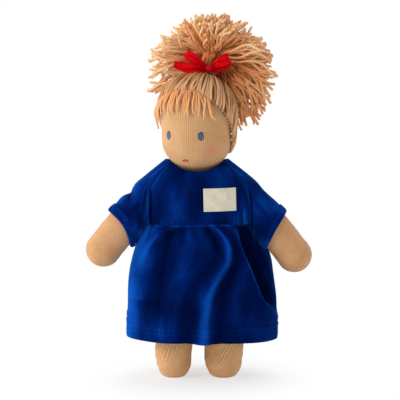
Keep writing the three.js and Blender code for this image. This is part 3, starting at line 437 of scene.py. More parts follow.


# Cotton velour with a short dense pile: its sheen brightens it where the light grazes it, and its colour
# carries painted shade, nearly black in the folds, and painted bright blue highlights on the crests. Its pile
# is drawn coarser than the real 0.3 mm.
def makeVelour():
    material, tree, shader = newMaterial("cotton velour, navy", Roughness=0.95, Sheen_Roughness=0.42,
                                         Sheen_Tint=linear("#2a7cf0"), Specular_IOR_Level=0.0)
    places = addNode(tree, "UVMap", uv_map="UVMap")
    combed = addNode(tree, "VectorMath", {0: places, 1: (1, 0.45, 1)}, operation="MULTIPLY")
    nap = addNode(tree, "TexNoise", {"Vector": combed, "Scale": 1 / 11, "Detail": 4.0}, "Fac")
    pile = addNode(tree, "TexNoise", {"Vector": places, "Scale": 1 / 0.9}, "Fac")
    pressed = addNode(tree, "TexNoise", {"Vector": places, "Scale": 1 / 5}, "Fac")
    paintedHighlightAndShade = addNode(tree, "Attribute", out="Fac", attribute_name="paintedHighlightAndShade")
    # The pile's random nap tone, plus painted highlights and painted shade from the mesh's attribute
    napAndPaintedShading = addNode(tree, "Math", {0: nap, 1: 0.48, 2: 0.145}, operation="MULTIPLY_ADD")
    napAndPaintedShading = addNode(tree, "Math", {0: paintedHighlightAndShade, 1: 0.42, 2: napAndPaintedShading}, operation="MULTIPLY_ADD")
    # Near black for painted shade, up to bright blue for painted highlights
    base = addNode(tree, "ValToRGB", {"Fac": napAndPaintedShading},
                   stops=[[0.0, "#00020c"], [0.3, "#000c36"], [0.5, "#011d5e"], [1.0, "#0a52b4"]])
    flecks = addNode(tree, "Math", {0: pile, 1: 0.2}, operation="MULTIPLY")
    colour = addNode(tree, "Mix", {0: flecks, 6: base, 7: linear("#062a86")}, 2, data_type="RGBA")
    # The sheen is weakened where shade is painted
    tree.links.new(addNode(tree, "MapRange", {"Value": napAndPaintedShading, "From Max": 0.6}), shader["Sheen Weight"])
    height = addNode(tree, "Math", {0: pressed, 1: 1.6, 2: pile}, operation="MULTIPLY_ADD")
    finishMaterial(tree, shader, colour, height, 0.4, 0.5)
    return material


# Wool and mohair yarn, spun and plied: matt and fuzzy, with painted shade in the slanting grooves between its
# plies, and painted light and shade along its strands.
def makeYarn(name, stops, plyPitch=3.4, plies=2):
    material, tree, shader = newMaterial(name, Roughness=0.85, Sheen_Weight=0.3, Sheen_Roughness=0.45,
                                         Sheen_Tint=linear("#ffca90"), Specular_IOR_Level=0.2)
    places = addNode(tree, "UVMap", uv_map="UVMap")
    split = addNode(tree, "SeparateXYZ", {"Vector": places}).node.outputs
    twist = addNode(tree, "Math", {0: split["Y"], 1: 1 / plyPitch, 2: split["X"]}, operation="MULTIPLY_ADD")
    twist = addNode(tree, "Math", {0: twist, 1: plies * 2 * math.pi}, operation="MULTIPLY")
    ply = addNode(tree, "Math", {0: twist}, operation="SINE")
    ply = addNode(tree, "Math", {0: ply, 1: 0.5, 2: 0.5}, operation="MULTIPLY_ADD")
    # Painted light along each strand: dark where it lies deep or in shade, pale where it is lit
    paintedStrandLight = addNode(tree, "Attribute", out="Fac", attribute_name="paintedStrandLight")
    tone = addNode(tree, "Attribute", out="Fac", attribute_name="tone")
    shade = addNode(tree, "Math", {0: tone, 1: 0.22, 2: paintedStrandLight}, operation="MULTIPLY_ADD")
    base = addNode(tree, "ValToRGB", {"Fac": shade}, stops=stops)
    # Painted shade in the grooves between the plies
    plyGrooveShade = addNode(tree, "Math", {0: ply, 1: -0.34, 2: 0.34}, operation="MULTIPLY_ADD")
    colour = addNode(tree, "Mix", {0: plyGrooveShade, 6: base, 7: linear("#84492a")}, 2, data_type="RGBA")
    finishMaterial(tree, shader, colour, ply, 0.7, 0.5)
    return material


# Polyester satin ribbon: smooth and lustrous, with painted shade in its folds and fine warp threads along it.
def makeSatin():
    material, tree, shader = newMaterial("polyester satin, red", Roughness=0.32, Anisotropic=0.6,
                                         Specular_Tint=linear("#ff3a30"), Specular_IOR_Level=0.5)
    places = addNode(tree, "UVMap", uv_map="UVMap")
    warp = addNode(tree, "TexWave", {"Vector": places, "Scale": bandScale / 0.8, "Distortion": 0.6,
                                     "Detail": 1.0, "Detail Scale": 0.3}, "Fac")
    cloud = addNode(tree, "TexNoise", {"Vector": places, "Scale": 1 / 7}, "Fac")
    base = addNode(tree, "ValToRGB", {"Fac": cloud}, stops=[[0.3, "#c0000c"], [0.7, "#de0414"]])
    paintedHighlightAndShade = addNode(tree, "Attribute", out="Fac", attribute_name="paintedHighlightAndShade")
    # Painted shade: the red is darker where the painted light value is low, in the folds
    paintedFoldShade = addNode(tree, "MapRange", {"Value": paintedHighlightAndShade, "From Min": -1.1, "From Max": 0.3, "To Min": 0.8,
                                      "To Max": 0.0})
    paintedFoldColour = addNode(tree, "Mix", {0: paintedFoldShade, 6: base, 7: linear("#5c0006")}, 2, data_type="RGBA")
    threads = addNode(tree, "Math", {0: warp, 1: 0.12}, operation="MULTIPLY")
    colour = addNode(tree, "Mix", {0: threads, 6: paintedFoldColour, 7: linear("#e4121a")}, 2, data_type="RGBA")
    finishMaterial(tree, shader, colour, warp, 0.25, 0.1)
    return material


# Woven cotton tape: flat and matt, with fine cross ribs, drawn coarser than the real 0.5 mm.
def makeTape():
    material, tree, shader = newMaterial("woven cotton tape", Roughness=0.85, Sheen_Weight=0.15,
                                         Specular_IOR_Level=0.25)
    places = addNode(tree, "UVMap", uv_map="UVMap")
    weft, warp = (addNode(tree, "TexWave", {"Vector": places, "Scale": bandScale / 1.1, "Distortion": 0.5,
                                            "Detail": 1.0, "Detail Scale": 0.3}, "Fac", bands_direction=way)
                  for way in "YX")
    cloud = addNode(tree, "TexNoise", {"Vector": places, "Scale": 1 / 9}, "Fac")
    base = addNode(tree, "ValToRGB", {"Fac": cloud}, stops=[[0.3, "#c3bba6"], [0.7, "#d9d2be"]])
    weave = addNode(tree, "Math", {0: weft, 1: warp}, operation="MULTIPLY")
    weave = addNode(tree, "Math", {0: weave, 1: 0.35}, operation="MULTIPLY")
    colour = addNode(tree, "Mix", {0: weave, 6: base, 7: linear("#ebe5d4")}, 2, data_type="RGBA")
    height = addNode(tree, "Math", {0: warp, 1: 0.5, 2: weft}, operation="MULTIPLY_ADD")
    finishMaterial(tree, shader, colour, height, 0.35, 0.15)
    return material


# Twisted thread: cotton floss or waxed cord, with the slant of its strands drawn as painted shade between
# them.
def makeThread(name, dark, pale, roughness=0.6):
    material, tree, shader = newMaterial(name, Roughness=roughness, Sheen_Weight=0.2, Specular_IOR_Level=0.4)
    places = addNode(tree, "UVMap", uv_map="UVMap")
    split = addNode(tree, "SeparateXYZ", {"Vector": places}).node.outputs
    twist = addNode(tree, "Math", {0: split["Y"], 1: 1 / 1.6, 2: split["X"]}, operation="MULTIPLY_ADD")
    twist = addNode(tree, "Math", {0: twist, 1: 4 * math.pi}, operation="MULTIPLY")
    ply = addNode(tree, "Math", {0: twist}, operation="SINE")
    tone = addNode(tree, "Attribute", out="Fac", attribute_name="tone")
    shade = addNode(tree, "Math", {0: ply, 1: 0.125, 2: tone}, operation="MULTIPLY_ADD")
    colour = addNode(tree, "ValToRGB", {"Fac": shade}, stops=[[0.1, dark], [0.9, pale]])
    finishMaterial(tree, shader, colour, ply, 0.4, 0.04)
    return material


# Injection moulded polyester button: satin, with faint flow clouds.
def makeButtonPlastic():
    material, tree, shader = newMaterial("moulded polyester, navy", IOR=1.54)
    spot = addNode(tree, "TexCoord", out="Object")
    cloud = addNode(tree, "TexNoise", {"Vector": spot, "Scale": 400.0}, "Fac")
    tree.links.new(addNode(tree, "ValToRGB", {"Fac": cloud}, stops=[[0.3, "#061a4e"], [0.7, "#0c2a70"]]),
                   shader["Base Color"])
    tree.links.new(addNode(tree, "MapRange", {"Value": cloud, "To Min": 0.28, "To Max": 0.42}),
                   shader["Roughness"])
    return material


faceJersey = makeJersey("rib jersey, face", 1.35, "#dab281", "#d1a675", "#a06c42", 0.5)
armJersey = makeJersey("rib jersey, arms", 1.5, "#e4b485", "#d9a575", "#8f5d36", 0.3, 2.6, 0.5)
# The legs' jersey is the arms' cloth painted paler, to stand in for the light that the skirt keeps off them
legJerseyPaintedLighter = makeJersey("rib jersey, legs, painted lighter", 2.9, "#f8c890", "#f0bb84", "#94603a", 0.38, 15.0, 0.46)
velour = makeVelour()
# The low ends of the yarn ramps are painted shade, the high ends painted light on lit tips
tuftYarn = makeYarn("mohair yarn, pony tail", [[0.0, "#984a22"], [0.2, "#e98e50"], [0.5, "#fdb274"],
                                               [0.9, "#ffd29c"]])
capYarn = makeYarn("mohair yarn, cap", [[0.0, "#683719"], [0.35, "#c98e60"], [0.8, "#f4c592"]], 3.0)
satin = makeSatin()
tape = makeTape()
eyeFloss = makeThread("cotton floss, slate blue", "#212c38", "#406488")
mouthFloss = makeThread("cotton floss, red", "#8c1212", "#d83a2a")
navyThread = makeThread("sewing thread, navy", "#03124a", "#1a4aa0")
brownThread = makeThread("waxed thread, brown", "#5a3522", "#b4845a", 0.5)
creamThread = makeThread("sewing thread, cream", "#b9b09a", "#e4dcc6")
buttonPlastic = makeButtonPlastic()
print("materials")


# Rides a piece on its body, in place of its CAD nodes
def finishPiece(piece, body, nodes=()):
    if nodes:
        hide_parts(*nodes)
    if body:
        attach(piece, body)
    return piece


# A piece of stuffed jersey, named for the first of the CAD nodes that it replaces
def stuffedPiece(body, nodes, fill, points, material, poles, inside, **grid):
    piece = gridPiece(nodes[0], points, material, poles=poles, inside=inside, **grid)
    finishPiece(piece, body, nodes)


# Head: a ball of wool under pulled jersey, with a low chin, faint cheeks and a drawn-in eye line

head = dict(low=35.0, lowMiddle=35.0, top=37.0, topMiddle=59.0, height=96.0, rows=46, middleRows=18,
            columns=160)
# Each cheek's blush: degrees from the front, half width in degrees, height, half height, strength
cheekBlush = ((-34, 13, 20, 6, 0.36), (50, 14, 23, 7, 0.6))


def eggRadius(height):
    height = np.asarray(height, float)
    low = np.sqrt(np.maximum(head["low"] ** 2 - (head["low"] - height) ** 2, 0))
    top = np.sqrt(np.maximum(head["top"] ** 2 - (height - head["topMiddle"]) ** 2, 0))
    share = (height - head["lowMiddle"]) / (head["topMiddle"] - head["lowMiddle"])
    middle = head["low"] + (head["top"] - head["low"]) * share
    return np.where(height < head["lowMiddle"], low, np.where(height > head["topMiddle"], top, middle))


def faceDirection(azimuth):
    return pointsAt(np.sin(azimuth), -np.cos(azimuth), 0)


# How far the face swells or is drawn in, by degrees from its front and height above the chin
def faceRelief(azimuth, height):
    aside = np.abs(azimuth)
    cheeks = 0.9 * hump(aside - 34, 20) * hump(height - 24, 13)
    eyeLine = -0.9 * hump(height - 41, 6) * smoothStep((100 - aside) / 60)
    nose = 0.8 * hump(azimuth, 8) * hump(height - 29, 6)
    chin = 0.6 * hump(azimuth, 24) * hump(height - 9, 7)
    return cheeks + eyeLine + nose + chin


def onFace(azimuth, height, rise=0.0):
    azimuth, height = np.asarray(azimuth, float), np.asarray(height, float)
    radius = eggRadius(height)
    outward = faceDirection(np.radians(azimuth))
    low = np.clip((height - head["lowMiddle"]) / head["low"], -1, 0)
    tilt = low + np.clip((height - head["topMiddle"]) / head["top"], 0, 1)
    normal = outward * np.sqrt(1 - tilt ** 2)[..., None] + pointsAt(0, 0, tilt)
    at = outward * radius[..., None] + pointsAt(0, 0, height)
    return at + normal * (faceRelief(azimuth, height) + rise)[..., None]


def makeHead():
    low = np.linspace(-math.pi / 2, 0, head["rows"])[1:]
    top = np.linspace(0, math.pi / 2, head["rows"])[:-1]
    middle = np.linspace(head["lowMiddle"], head["topMiddle"], head["middleRows"])[1:-1]
    heights = np.concatenate([head["low"] * (1 + np.sin(low)), middle,
                              head["topMiddle"] + head["top"] * np.sin(top)])
    azimuths = np.linspace(0, 360, head["columns"], endpoint=False) - 180
    azimuth, height = np.meshgrid(azimuths, heights)
    points = placeHead(onFace(azimuth, height))
    blush = sum(strength * hump(azimuth - turn, wide) * hump(height - level, tall)
                for turn, wide, level, tall, strength in cheekBlush)
    poles = placeHead([[0, 0, 0], [0, 0, head["height"]]])
    stuffedPiece("head", ["head_cover", "head_ball"], 0.9, points, faceJersey, poles,
                 placeHead([0, 0, head["height"] / 2]), attributes=dict(blush=blush))


# Satin stitches: upright threads side by side in an oval, pulled under the jersey at both ends
eyes = dict(places=(("right_eye", -29.5), ("left_eye", 29.5)), height=38.5, half=(2.9, 4.4), threads=11,
            points=15, radius=0.4)
mouth = dict(azimuth=0.0, height=14.5, half=(3.3, 0.8), droop=0.8, threads=3, points=17, radius=0.48)


def makeFace():
    for name, azimuth in eyes["places"]:
        wide, tall = eyes["half"]
        across = np.linspace(-1, 1, eyes["threads"])[:, None] * 0.93
        t = np.linspace(-1, 1, eyes["points"])[None, :]
        reach = np.sqrt(1 - across ** 2) * (1 + 0.06 * np.sin(across * 37))
        height = eyes["height"] + tall * reach * t
        aside = azimuth + np.degrees(across * wide / eggRadius(eyes["height"]))
        rise = 0.75 * np.sqrt(np.maximum(1 - t ** 4, 0)) * (0.75 + 0.25 * reach) - 0.45
        tone = 0.55 - 0.4 * smoothStep((t - 0.15) / 0.7) + 0.2 * hump(t + 0.1, 0.5)
        tone = tone + 0.08 * np.sin(across * 53)
        piece = threadPiece(name, placeHead(onFace(aside, height, rise)), eyes["radius"], eyeFloss, 8,
                            dict(tone=tone))
        finishPiece(piece, "head", [name])
    wide, tall = mouth["half"]
    t = np.linspace(-1, 1, mouth["points"])[None, :]
    level = np.linspace(-1, 1, mouth["threads"])[:, None]
    height = mouth["height"] + level * tall * 0.55 - mouth["droop"] * t ** 2 + 0.15 * np.sin(2.2 * t + level)
    aside = mouth["azimuth"] + np.degrees(t * wide * (1 - 0.12 * np.abs(level)) / eggRadius(mouth["height"]))
    rise = 0.55 * np.sqrt(np.maximum(1 - t ** 4, 0)) - 0.3
    piece = threadPiece("mouth", placeHead(onFace(aside, height, rise)), mouth["radius"], mouthFloss, 8,
                        dict(tone=0.5 + 0.35 * t - 0.2 * level))
    finishPiece(piece, "head", ["mouth"])


makeHead()
makeFace()


# Torso, neck and limbs: jersey tubes stuffed with wool

torso = dict(height=110.0, wide=47.5, deep=29.5, rows=70, columns=96, neckBall=(198.0, 12.4),
             hollow=(23, -88), hollowRows=16)
# Share of the height, and of the half width and the half depth
torsoRings = [[0.011, 0.6, 0.03], [0.02, 0.97, 0.06], [0.09, 0.99, 0.32], [0.18, 1, 0.62], [0.27, 1, 0.85],
              [0.4, 1, 0.96], [0.55, 1, 1], [0.66, 0.9, 0.98], [0.76, 0.81, 0.91], [0.87, 0.76, 0.8],
              [0.95, 0.65, 0.68], [1, 0.41, 0.6]]


def makeTorso():
    share = np.linspace(torsoRings[0][0], 1, torso["rows"])
    sizes = through(torsoRings, share, steady=True)
    angle = turnAngles(torso["columns"])
    c, s = squared(angle, bodyPower)
    points = pointsAt(c * torso["wide"] * sizes[:, :1], s * torso["deep"] * sizes[:, 1:],
                      doll["hip"] + share[:, None] * torso["height"])
    rim, low = torso["hollow"]
    tilt = np.linspace(radians(rim), radians(low), torso["hollowRows"])[:, None]
    ball, socket = torso["neckBall"]
    hollow = pointsAt(np.cos(angle) * socket * np.cos(tilt), np.sin(angle) * socket * np.cos(tilt),
                      ball + socket * np.sin(tilt))
    points = np.concatenate([points, hollow])
    poles = ([0, 0, doll["hip"] + 1], [0, 0, ball - socket])
    stuffedPiece("torso", ["torso"], 0.85, points, armJersey, poles, [0, 0, 150])


# Height and radius of the neck
neckRings = [[186.5, 3.6], [188, 6.6], [192, 10.6], [198, 12], [202.5, 10.8], [204.6, 8.4], [206, 7.9],
             [207.4, 8.4], [208.6, 9], [210, 9]]
neck = dict(rows=40, columns=64, pleats=15, pleatDepth=0.05)
neckTie = dict(height=206.0, ring=8.9, radius=0.95, turns=2)


def makeNeck():
    heights = np.linspace(neckRings[0][0], neckRings[-1][0], neck["rows"])
    radius = through(neckRings, heights)
    angle = turnAngles(neck["columns"])
    pleats = neck["pleatDepth"] * np.cos(neck["pleats"] * angle)
    pleats = 1 + pleats * hump(heights - neckTie["height"], 3)[:, None]
    points = pointsAt(np.cos(angle) * radius * pleats, np.sin(angle) * radius * pleats, heights[:, None])
    stuffedPiece("neck", ["neck"], 0.9, points, armJersey, ([0, 0, 186], [0, 0, 210]), [0, 0, 198])
    turn = np.linspace(0, 2 * math.pi * neckTie["turns"], 121)
    height = neckTie["height"] + neckTie["radius"] * (turn / turn[-1] * 2 - 1)
    ring = neckTie["ring"] + 0.25 * np.sin(turn / 2) ** 2
    path = pointsAt(np.cos(turn) * ring, np.sin(turn) * ring, height)
    tie = threadPiece("neck_tie", path[None], neckTie["radius"], brownThread, 10, dict(tone=0.5))
    finishPiece(tie, "neck", ["neck_tie"])


# Each arm is its side, its shoulder's x, its lean from upright and its length, and is full from the share
# armFull of that on. Each leg is its side, its x, its girth and the slant of its ribs.
limb = dict(arms=((-1, -40.5, 39.2, 84.5), (1, 41.5, 38.3, 90.7)), armRoot=5.5, armEnd=17.5, shoulder=195.0,
            legs=((-1, -23.5, 18.3, -0.34), (1, 26.8, 19.2, -0.56)), armRows=110, rootRows=18, endRows=30,
            armFull=0.64, seam=0.5, columns=140)
# Height, and half width and half depth by share of the girth, from the sole to the flat seam at the hip
legRings = [[0.06, 0.3, 0.3], [0.14, 0.52, 0.52], [1.2, 0.64, 0.64], [3.5, 0.75, 0.75], [7.5, 0.86, 0.86],
            [13, 0.95, 0.95], [22, 1, 1], [36, 1.03, 1.03], [52, 1.04, 1.02], [64, 1.03, 0.93],
            [74, 1.02, 0.78], [82, 1, 0.5], [88, 0.99, 0.26], [92.8, 0.98, 0.06], [94.2, 0.9, 0.045]]


# Soft wrinkles that run slanting round a limb, from its angle and place along it in millimetres
def wrinkles(angle, along, slant, seed):
    first = np.sin(along / 1.35 + angle * slant * 13 + 2.2 * np.sin(angle * 2 + seed)
                   + 0.5 * np.sin(along / 9))
    broad = np.sin(along / 4.7 - angle * slant * 3 + seed * 2 + 1.5 * np.sin(angle + seed))
    fade = 0.55 + 0.45 * np.sin(angle * 3 + along / 14 + seed)
    return 0.13 * first * fade + 0.22 * broad


# The ways along an arm and across it, and the middle of its shoulder
def armFrame(side, x, lean):
    lean = radians(lean)
    along = np.array([side * math.sin(lean), 0, -math.cos(lean)])
    across = np.array([side * math.cos(lean), 0, math.sin(lean)])
    return along, across, np.array([x, 0, limb["shoulder"]])


def makeArm(side, x, lean, length):
    along, across, root = armFrame(side, x, lean)
    low, high = limb["armRoot"], limb["armEnd"]
    start = np.linspace(-math.pi / 2, 0, limb["rootRows"])[1:-1]
    end = np.linspace(0, math.pi / 2, limb["endRows"])[1:-1]
    body = np.linspace(0, 1, limb["armRows"])
    spots = np.concatenate([low * np.sin(start), body * length, length + high * np.sin(end)])
    sizes = low + (high - low) * smoothStep(body / limb["armFull"]) ** 1.5
    sizes = np.concatenate([low * np.cos(start), sizes, high * np.cos(end)])
    angle = turnAngles(limb["columns"])
    thin = (sizes / high)[:, None]
    crease = wrinkles(angle, spots[:, None], 0.2 * side, 1.0 + side) * thin
    seam = -limb["seam"] * hump((angle - math.pi) * high, 1.0)
    radius = sizes[:, None] + crease + seam * thin
    points = (root + along * spots[:, None, None] + across * (radius * np.cos(angle))[..., None]
              + pointsAt(0, radius * np.sin(angle), 0))
    name = "right_arm" if side < 0 else "left_arm"
    poles = (root - along * low, root + along * (length + high))
    stuffedPiece(name, [name], 0.85, points, armJersey, poles, root + along * length / 2)


def makeLeg(side, x, girth, slant):
    heights = np.concatenate([np.linspace(0.06, 1.2, 8)[:-1], np.linspace(1.2, 22, 44)[:-1],
                              np.linspace(22, 92.8, 110)[:-1], np.linspace(92.8, 94.2, 4)])
    sizes = through(legRings, heights, steady=True)
    angle = turnAngles(limb["columns"])
    standing = smoothStep((heights[:, None] - 2) / 8) * smoothStep((90 - heights[:, None]) / 14)
    crease = 2.0 * wrinkles(angle, heights[:, None], slant, 4.0 + side) * standing
    points = pointsAt(x + np.cos(angle) * (girth * sizes[:, :1] + crease),
                      np.sin(angle) * (girth * sizes[:, 1:] + crease), heights[:, None])
    places = clothPlaces(points, True)
    places[..., 0] += places[..., 1] * slant * (2.4 - places[..., 1] / 45)
    name = "right_leg" if side < 0 else "left_leg"
    stuffedPiece(name, [name], 0.85, points, legJerseyPaintedLighter, ([x, 0, 0.06], [x, 0, 94.4]), [x, 0, 40],
                 places=places)


makeTorso()
makeNeck()
for arm in limb["arms"]:
    makeArm(*arm)
for leg in limb["legs"]:
    makeLeg(*leg)
print("head, torso, neck and limbs")


# Hair: yarn laid over the skull and drawn up to a ribbon on the crown, from which its cut ends burst

crown = dict(radius=41.5, tilt=23.4, azimuth=72.4, rim=11.5, middle=48.0)
poleTilt, poleTurn = radians(crown["tilt"]), radians(crown["azimuth"])
headPole = np.array([math.sin(poleTilt) * math.cos(poleTurn), math.sin(poleTilt) * math.sin(poleTurn),
                     math.cos(poleTilt)])
hairMiddle = np.array([0, 0, crown["middle"]])
crownCentre = np.array([0, 0, head["topMiddle"]])
# Height of the hairline by degrees from the face
hairlineKeys = [[-180, 15], [-125, 23], [-98, 35], [-82, 49], [-68, 61], [-52, 73], [-34, 79], [0, 81.5],
                [23, 80.5], [37, 75], [53, 67.5], [68, 58.5], [82, 49], [91, 37], [99, 27], [125, 20],
                [180, 15]]
# Share of the cap's full rise by share of the way from the hairline to the ribbon
capRise = [[0, 0.5], [0.1, 0.85], [0.32, 1], [0.6, 1], [0.85, 1], [1, 0.9]]
cap = dict(locks=80, over=26, steps=26, rise=4.2, top=40.5, underRows=34, underColumns=120, underRise=0.42)
# The lengths of the fringe's first strands and of its last one are given, and the last one swings aside
fringe = dict(strands=38, steps=16, reach=(-64, 38), length=20.0, radius=1.1, bunch=13.5,
              first=(21, 25, 26, 24, 26, 22), last=24, lastSwing=14)
hairSeam = dict(reach=(-60, 100), points=260, radius=0.55, out=2.5, arch=0.35, above=0.5)


def hairline(azimuth):
    return through(hairlineKeys, azimuth, steady=True)[..., 0]


def skullDistance(directions):
    near, far = np.zeros(directions.shape[:-1]), np.full(directions.shape[:-1], 60.0)
    for _ in range(26):
        half = (near + far) / 2
        at = hairMiddle + directions * half[..., None]
        within = np.hypot(at[..., 0], at[..., 1]) < eggRadius(np.clip(at[..., 2], 0, head["height"]))
        within &= (at[..., 2] > 0) & (at[..., 2] < head["height"])
        near, far = np.where(within, half, near), np.where(within, far, half)
    return near


# A place on the cap: from the hairline at share 0 up to the ribbon at 1, risen above the skull
def onCap(azimuth, share, rise):
    azimuth, share = np.broadcast_arrays(np.asarray(azimuth, float), np.asarray(share, float))
    height = hairline(azimuth)
    start = faceDirection(np.radians(azimuth)) * eggRadius(height)[..., None]
    start = unit(start + pointsAt(0, 0, height) - hairMiddle)
    rim = unit(crownCentre + headPole * crown["radius"] - hairMiddle)
    angle = np.arccos(np.clip((start * rim).sum(-1), -1, 1))
    turn = share * (angle - math.asin(crown["rim"] / crown["radius"]))
    side = unit(rim - start * (start * rim).sum(-1, keepdims=True))
    way = start * np.cos(turn)[..., None] + side * np.sin(turn)[..., None]
    full = 0.3 + cap["rise"] * through(capRise, share)[..., 0]
    return hairMiddle + way * (skullDistance(way) + full * rise)[..., None]


def makeCap():
    random = np.random.default_rng(7)
    azimuth = np.linspace(0, 360, cap["underColumns"], endpoint=False) - 180
    share = np.linspace(0, 1.06, cap["underRows"])[:, None]
    under = placeHead(onCap(azimuth, share, cap["underRise"]))
    top = placeHead(crownCentre + headPole * cap["top"])
    # A dark sheet of yarn under the locks: painted shade in the gaps between them
    shell = gridPiece("hair_under", under, capYarn, poles=(None, top), inside=placeHead(hairMiddle),
                      attributes=dict(paintedStrandLight=np.full(under.shape[:2], -0.2)))
    finishPiece(shell, "head", ())
    share = np.linspace(-0.012, 1.03, cap["steps"])[None, :]
    paths, radii, tips, tones = [], [], [], []
    for layer, count in enumerate((cap["locks"], cap["over"])):
        each = (count, 1)
        turn = (np.arange(count) + random.uniform(-0.22, 0.22, count)) * 360 / count
        turn = fromFront(turn[:, None])
        drift = random.uniform(-1, 1, each) * (2.4 + 5 * layer)
        bends = random.uniform(0.7, 1.6, each)
        wave = drift * np.sin(share * math.pi * bends + random.uniform(0, 3, each))
        azimuth = fromFront(turn + wave * smoothStep((share + 0.012) / 0.3))
        lift = 0.62 + 0.2 * layer + random.uniform(-0.07, 0.07, each) + 0.05 * np.sin(share * 9 + turn)
        paths.append(onCap(azimuth, np.clip(share, 0, 1.03), lift))
        spacing = (3.0 - 1.9 * np.clip(share, 0, 1) ** 1.5) * (1.0 if layer == 0 else 0.75)
        radii.append(np.maximum(0.5 * spacing, 0.5) * random.uniform(0.85, 1.1, each))
        # Each lock's lightness differs at random, and is painted darker towards the ribbon
        paintedStrandLight = 0.58 + 0.2 * random.uniform(-1, 1, each) + 0.12 * np.sin(share * 5 + turn)
        tips.append(paintedStrandLight - 0.22 * share)
        tones.append(random.uniform(-1, 1, each) + 0 * share)
    piece = threadPiece("hair_cap", placeHead(np.concatenate(paths)), np.concatenate(radii), capYarn, 7,
                        dict(paintedStrandLight=np.concatenate(tips), tone=np.concatenate(tones)))
    finishPiece(piece, "head", ["hair_cap"])


def makeFringe():
    random = np.random.default_rng(3)
    count = fringe["strands"]
    azimuth = np.linspace(*fringe["reach"], count) + random.uniform(-1.5, 1.5, count)
    long = fringe["length"] * random.uniform(0.78, 1.12, count)
    splay = random.uniform(-2.5, 2.5, count) - 6 * smoothStep((-30 - azimuth) / 20)
    splay[-1] = fringe["lastSwing"]
    long[:len(fringe["first"])] = fringe["first"]
    long[-1] = fringe["last"]
    share = np.linspace(0, 1, fringe["steps"])[None, :]
    bunch = np.round((azimuth + 5) / fringe["bunch"]) * fringe["bunch"] - 5
    long = long + 2.6 * np.sin(bunch * 0.7 + 1)
    drop = share * long[:, None]
    aside = azimuth[:, None] + (bunch - azimuth)[:, None] * 0.62 * share ** 1.2
    aside = aside + splay[:, None] * share ** 1.4 + 1.6 * np.sin(share * 4 + np.arange(count)[:, None] * 0.9)
    height = hairline(azimuth)[:, None] + 0.6 - drop
    height[-1] += 5 * smoothStep((share[0] - 0.6) / 0.4)
    lift = 1.5 + 2.4 * np.sin(share * math.pi) * random.uniform(0.2, 1.1, (count, 1)) + 1.8 * share
    radius = fringe["radius"] * (1 - 0.25 * share) * random.uniform(0.8, 1.1, (count, 1))
    radius[-1] *= 1.5
    # The fringe's strands are painted darker at their roots and paler towards their ends
    piece = threadPiece("fringe", placeHead(onFace(aside, height, lift)), radius, tuftYarn, 8,
                        dict(paintedStrandLight=0.42 + 0.3 * share, tone=random.uniform(-1, 1, (count, 1))))
    finishPiece(piece, "head", ["fringe"])


# Stitches along the hairline, which hold the cap and the fringe down
def makeHairSeam():
    azimuth = np.linspace(*hairSeam["reach"], hairSeam["points"])
    stitch = hairSeam["arch"] * np.abs(np.sin(azimuth * 0.55))
    path = onFace(azimuth, hairline(azimuth) + hairSeam["above"], hairSeam["out"] + stitch)
    piece = threadPiece("hair_seam", placeHead(path)[None], hairSeam["radius"], brownThread, 8,
                        dict(tone=0.6))
    finishPiece(piece, "head", ["hair_seam"])


# Strands keep off the bow: none points nearer the front than the first degrees of a pair and also lower
# than the second, and none lower than lowest
tuft = dict(strands=980, bunches=110, radius=1.3, steps=20, top=47.0, side=62.0, hanging=19.0, neck=9.3,
            crimp=0.9, wave=17.0, out=51.5, heart=(0, 0, 3.6), bowRoom=((64, 46), (84, 12)), lowest=-62)
goldenTurn = 2.39996     # in radians, which shares out directions evenly
tuftCentre = placeHead(crownCentre + headPole * tuft["out"])
tuftPole = unit(placeHead(headPole) - placeHead([0, 0, 0]))
tuftAcross = unit(np.cross([0, 1, 0], tuftPole))
tuftBeside = np.cross(tuftPole, tuftAcross)


# From the tuft's own axes to the doll's, turned and not moved
def turnTuft(points):
    return points[..., :1] * tuftAcross + points[..., 1:2] * tuftBeside + points[..., 2:] * tuftPole


# Strands of cut yarn, dealt evenly over the directions that the bow leaves free
def tuftDirections(count, random):
    found = []
    for k in range(count):
        turn = k * goldenTurn + random.uniform(-0.05, 0.05)
        level = np.clip(1 - (k + 0.5) / count * 1.66 + random.uniform(-0.03, 0.03), -0.66, 0.995)
        flat = math.sqrt(1 - level ** 2)
        local = np.array([flat * math.cos(turn), flat * math.sin(turn), level])
        world = turnTuft(local)
        rise = math.degrees(math.asin(np.clip(world[2], -1, 1)))
        aside = abs(math.degrees(math.atan2(world[0], -world[1])))
        inBow = any(aside < wide and rise < high for wide, high in tuft["bowRoom"])
        if not inBow and rise >= tuft["lowest"]:
            found.append((local, world))
    return found


# One strand's line in the tuft's own axes: up through the ribbon, out towards its place, and bent as it liked
def strandPath(local, long, down, random):
    origin = np.array(tuft["heart"])
    turn = math.atan2(local[1], local[0])
    foot = tuft["neck"] * math.sqrt(random.uniform(0.1, 1)) * min(1.0, 0.35 + (1 - local[2]))
    root = np.array([foot * math.cos(turn), foot * math.sin(turn), 0])
    side = unit(np.cross(local, random.normal(size=3)))
    back = np.cross(local, side)
    fall = down - local * (down @ local)
    bend, curl = long * random.uniform(-0.15, 0.15, 2)
    keys = [root + [0, 0, -9], root + [0, 0, -3],
            origin + unit(local * 0.7 + [0, 0, 0.3]) * 11 + side * bend * 0.3,
            origin + unit(local * 0.9 + [0, 0, 0.1]) * long * 0.42 + side * bend + back * curl * 0.5,
            origin + local * long * 0.74 + side * bend * 0.4 + back * curl + fall * long * 0.03,
            origin + local * long - side * curl * 0.8 + fall * long * random.uniform(0.04, 0.16)]
    path = curvesThrough([keys], tuft["steps"])[0]
    distance = np.linspace(0, long, tuft["steps"])
    phase = random.uniform(0, 6.3)
    crimp = tuft["crimp"] * random.uniform(0.5, 1.2) * smoothStep((distance - 8) / 14)
    wave = 2 * math.pi * distance / tuft["wave"] + phase
    return path + side * (crimp * np.sin(wave))[:, None] + back * (crimp * np.cos(wave * 0.8))[:, None]


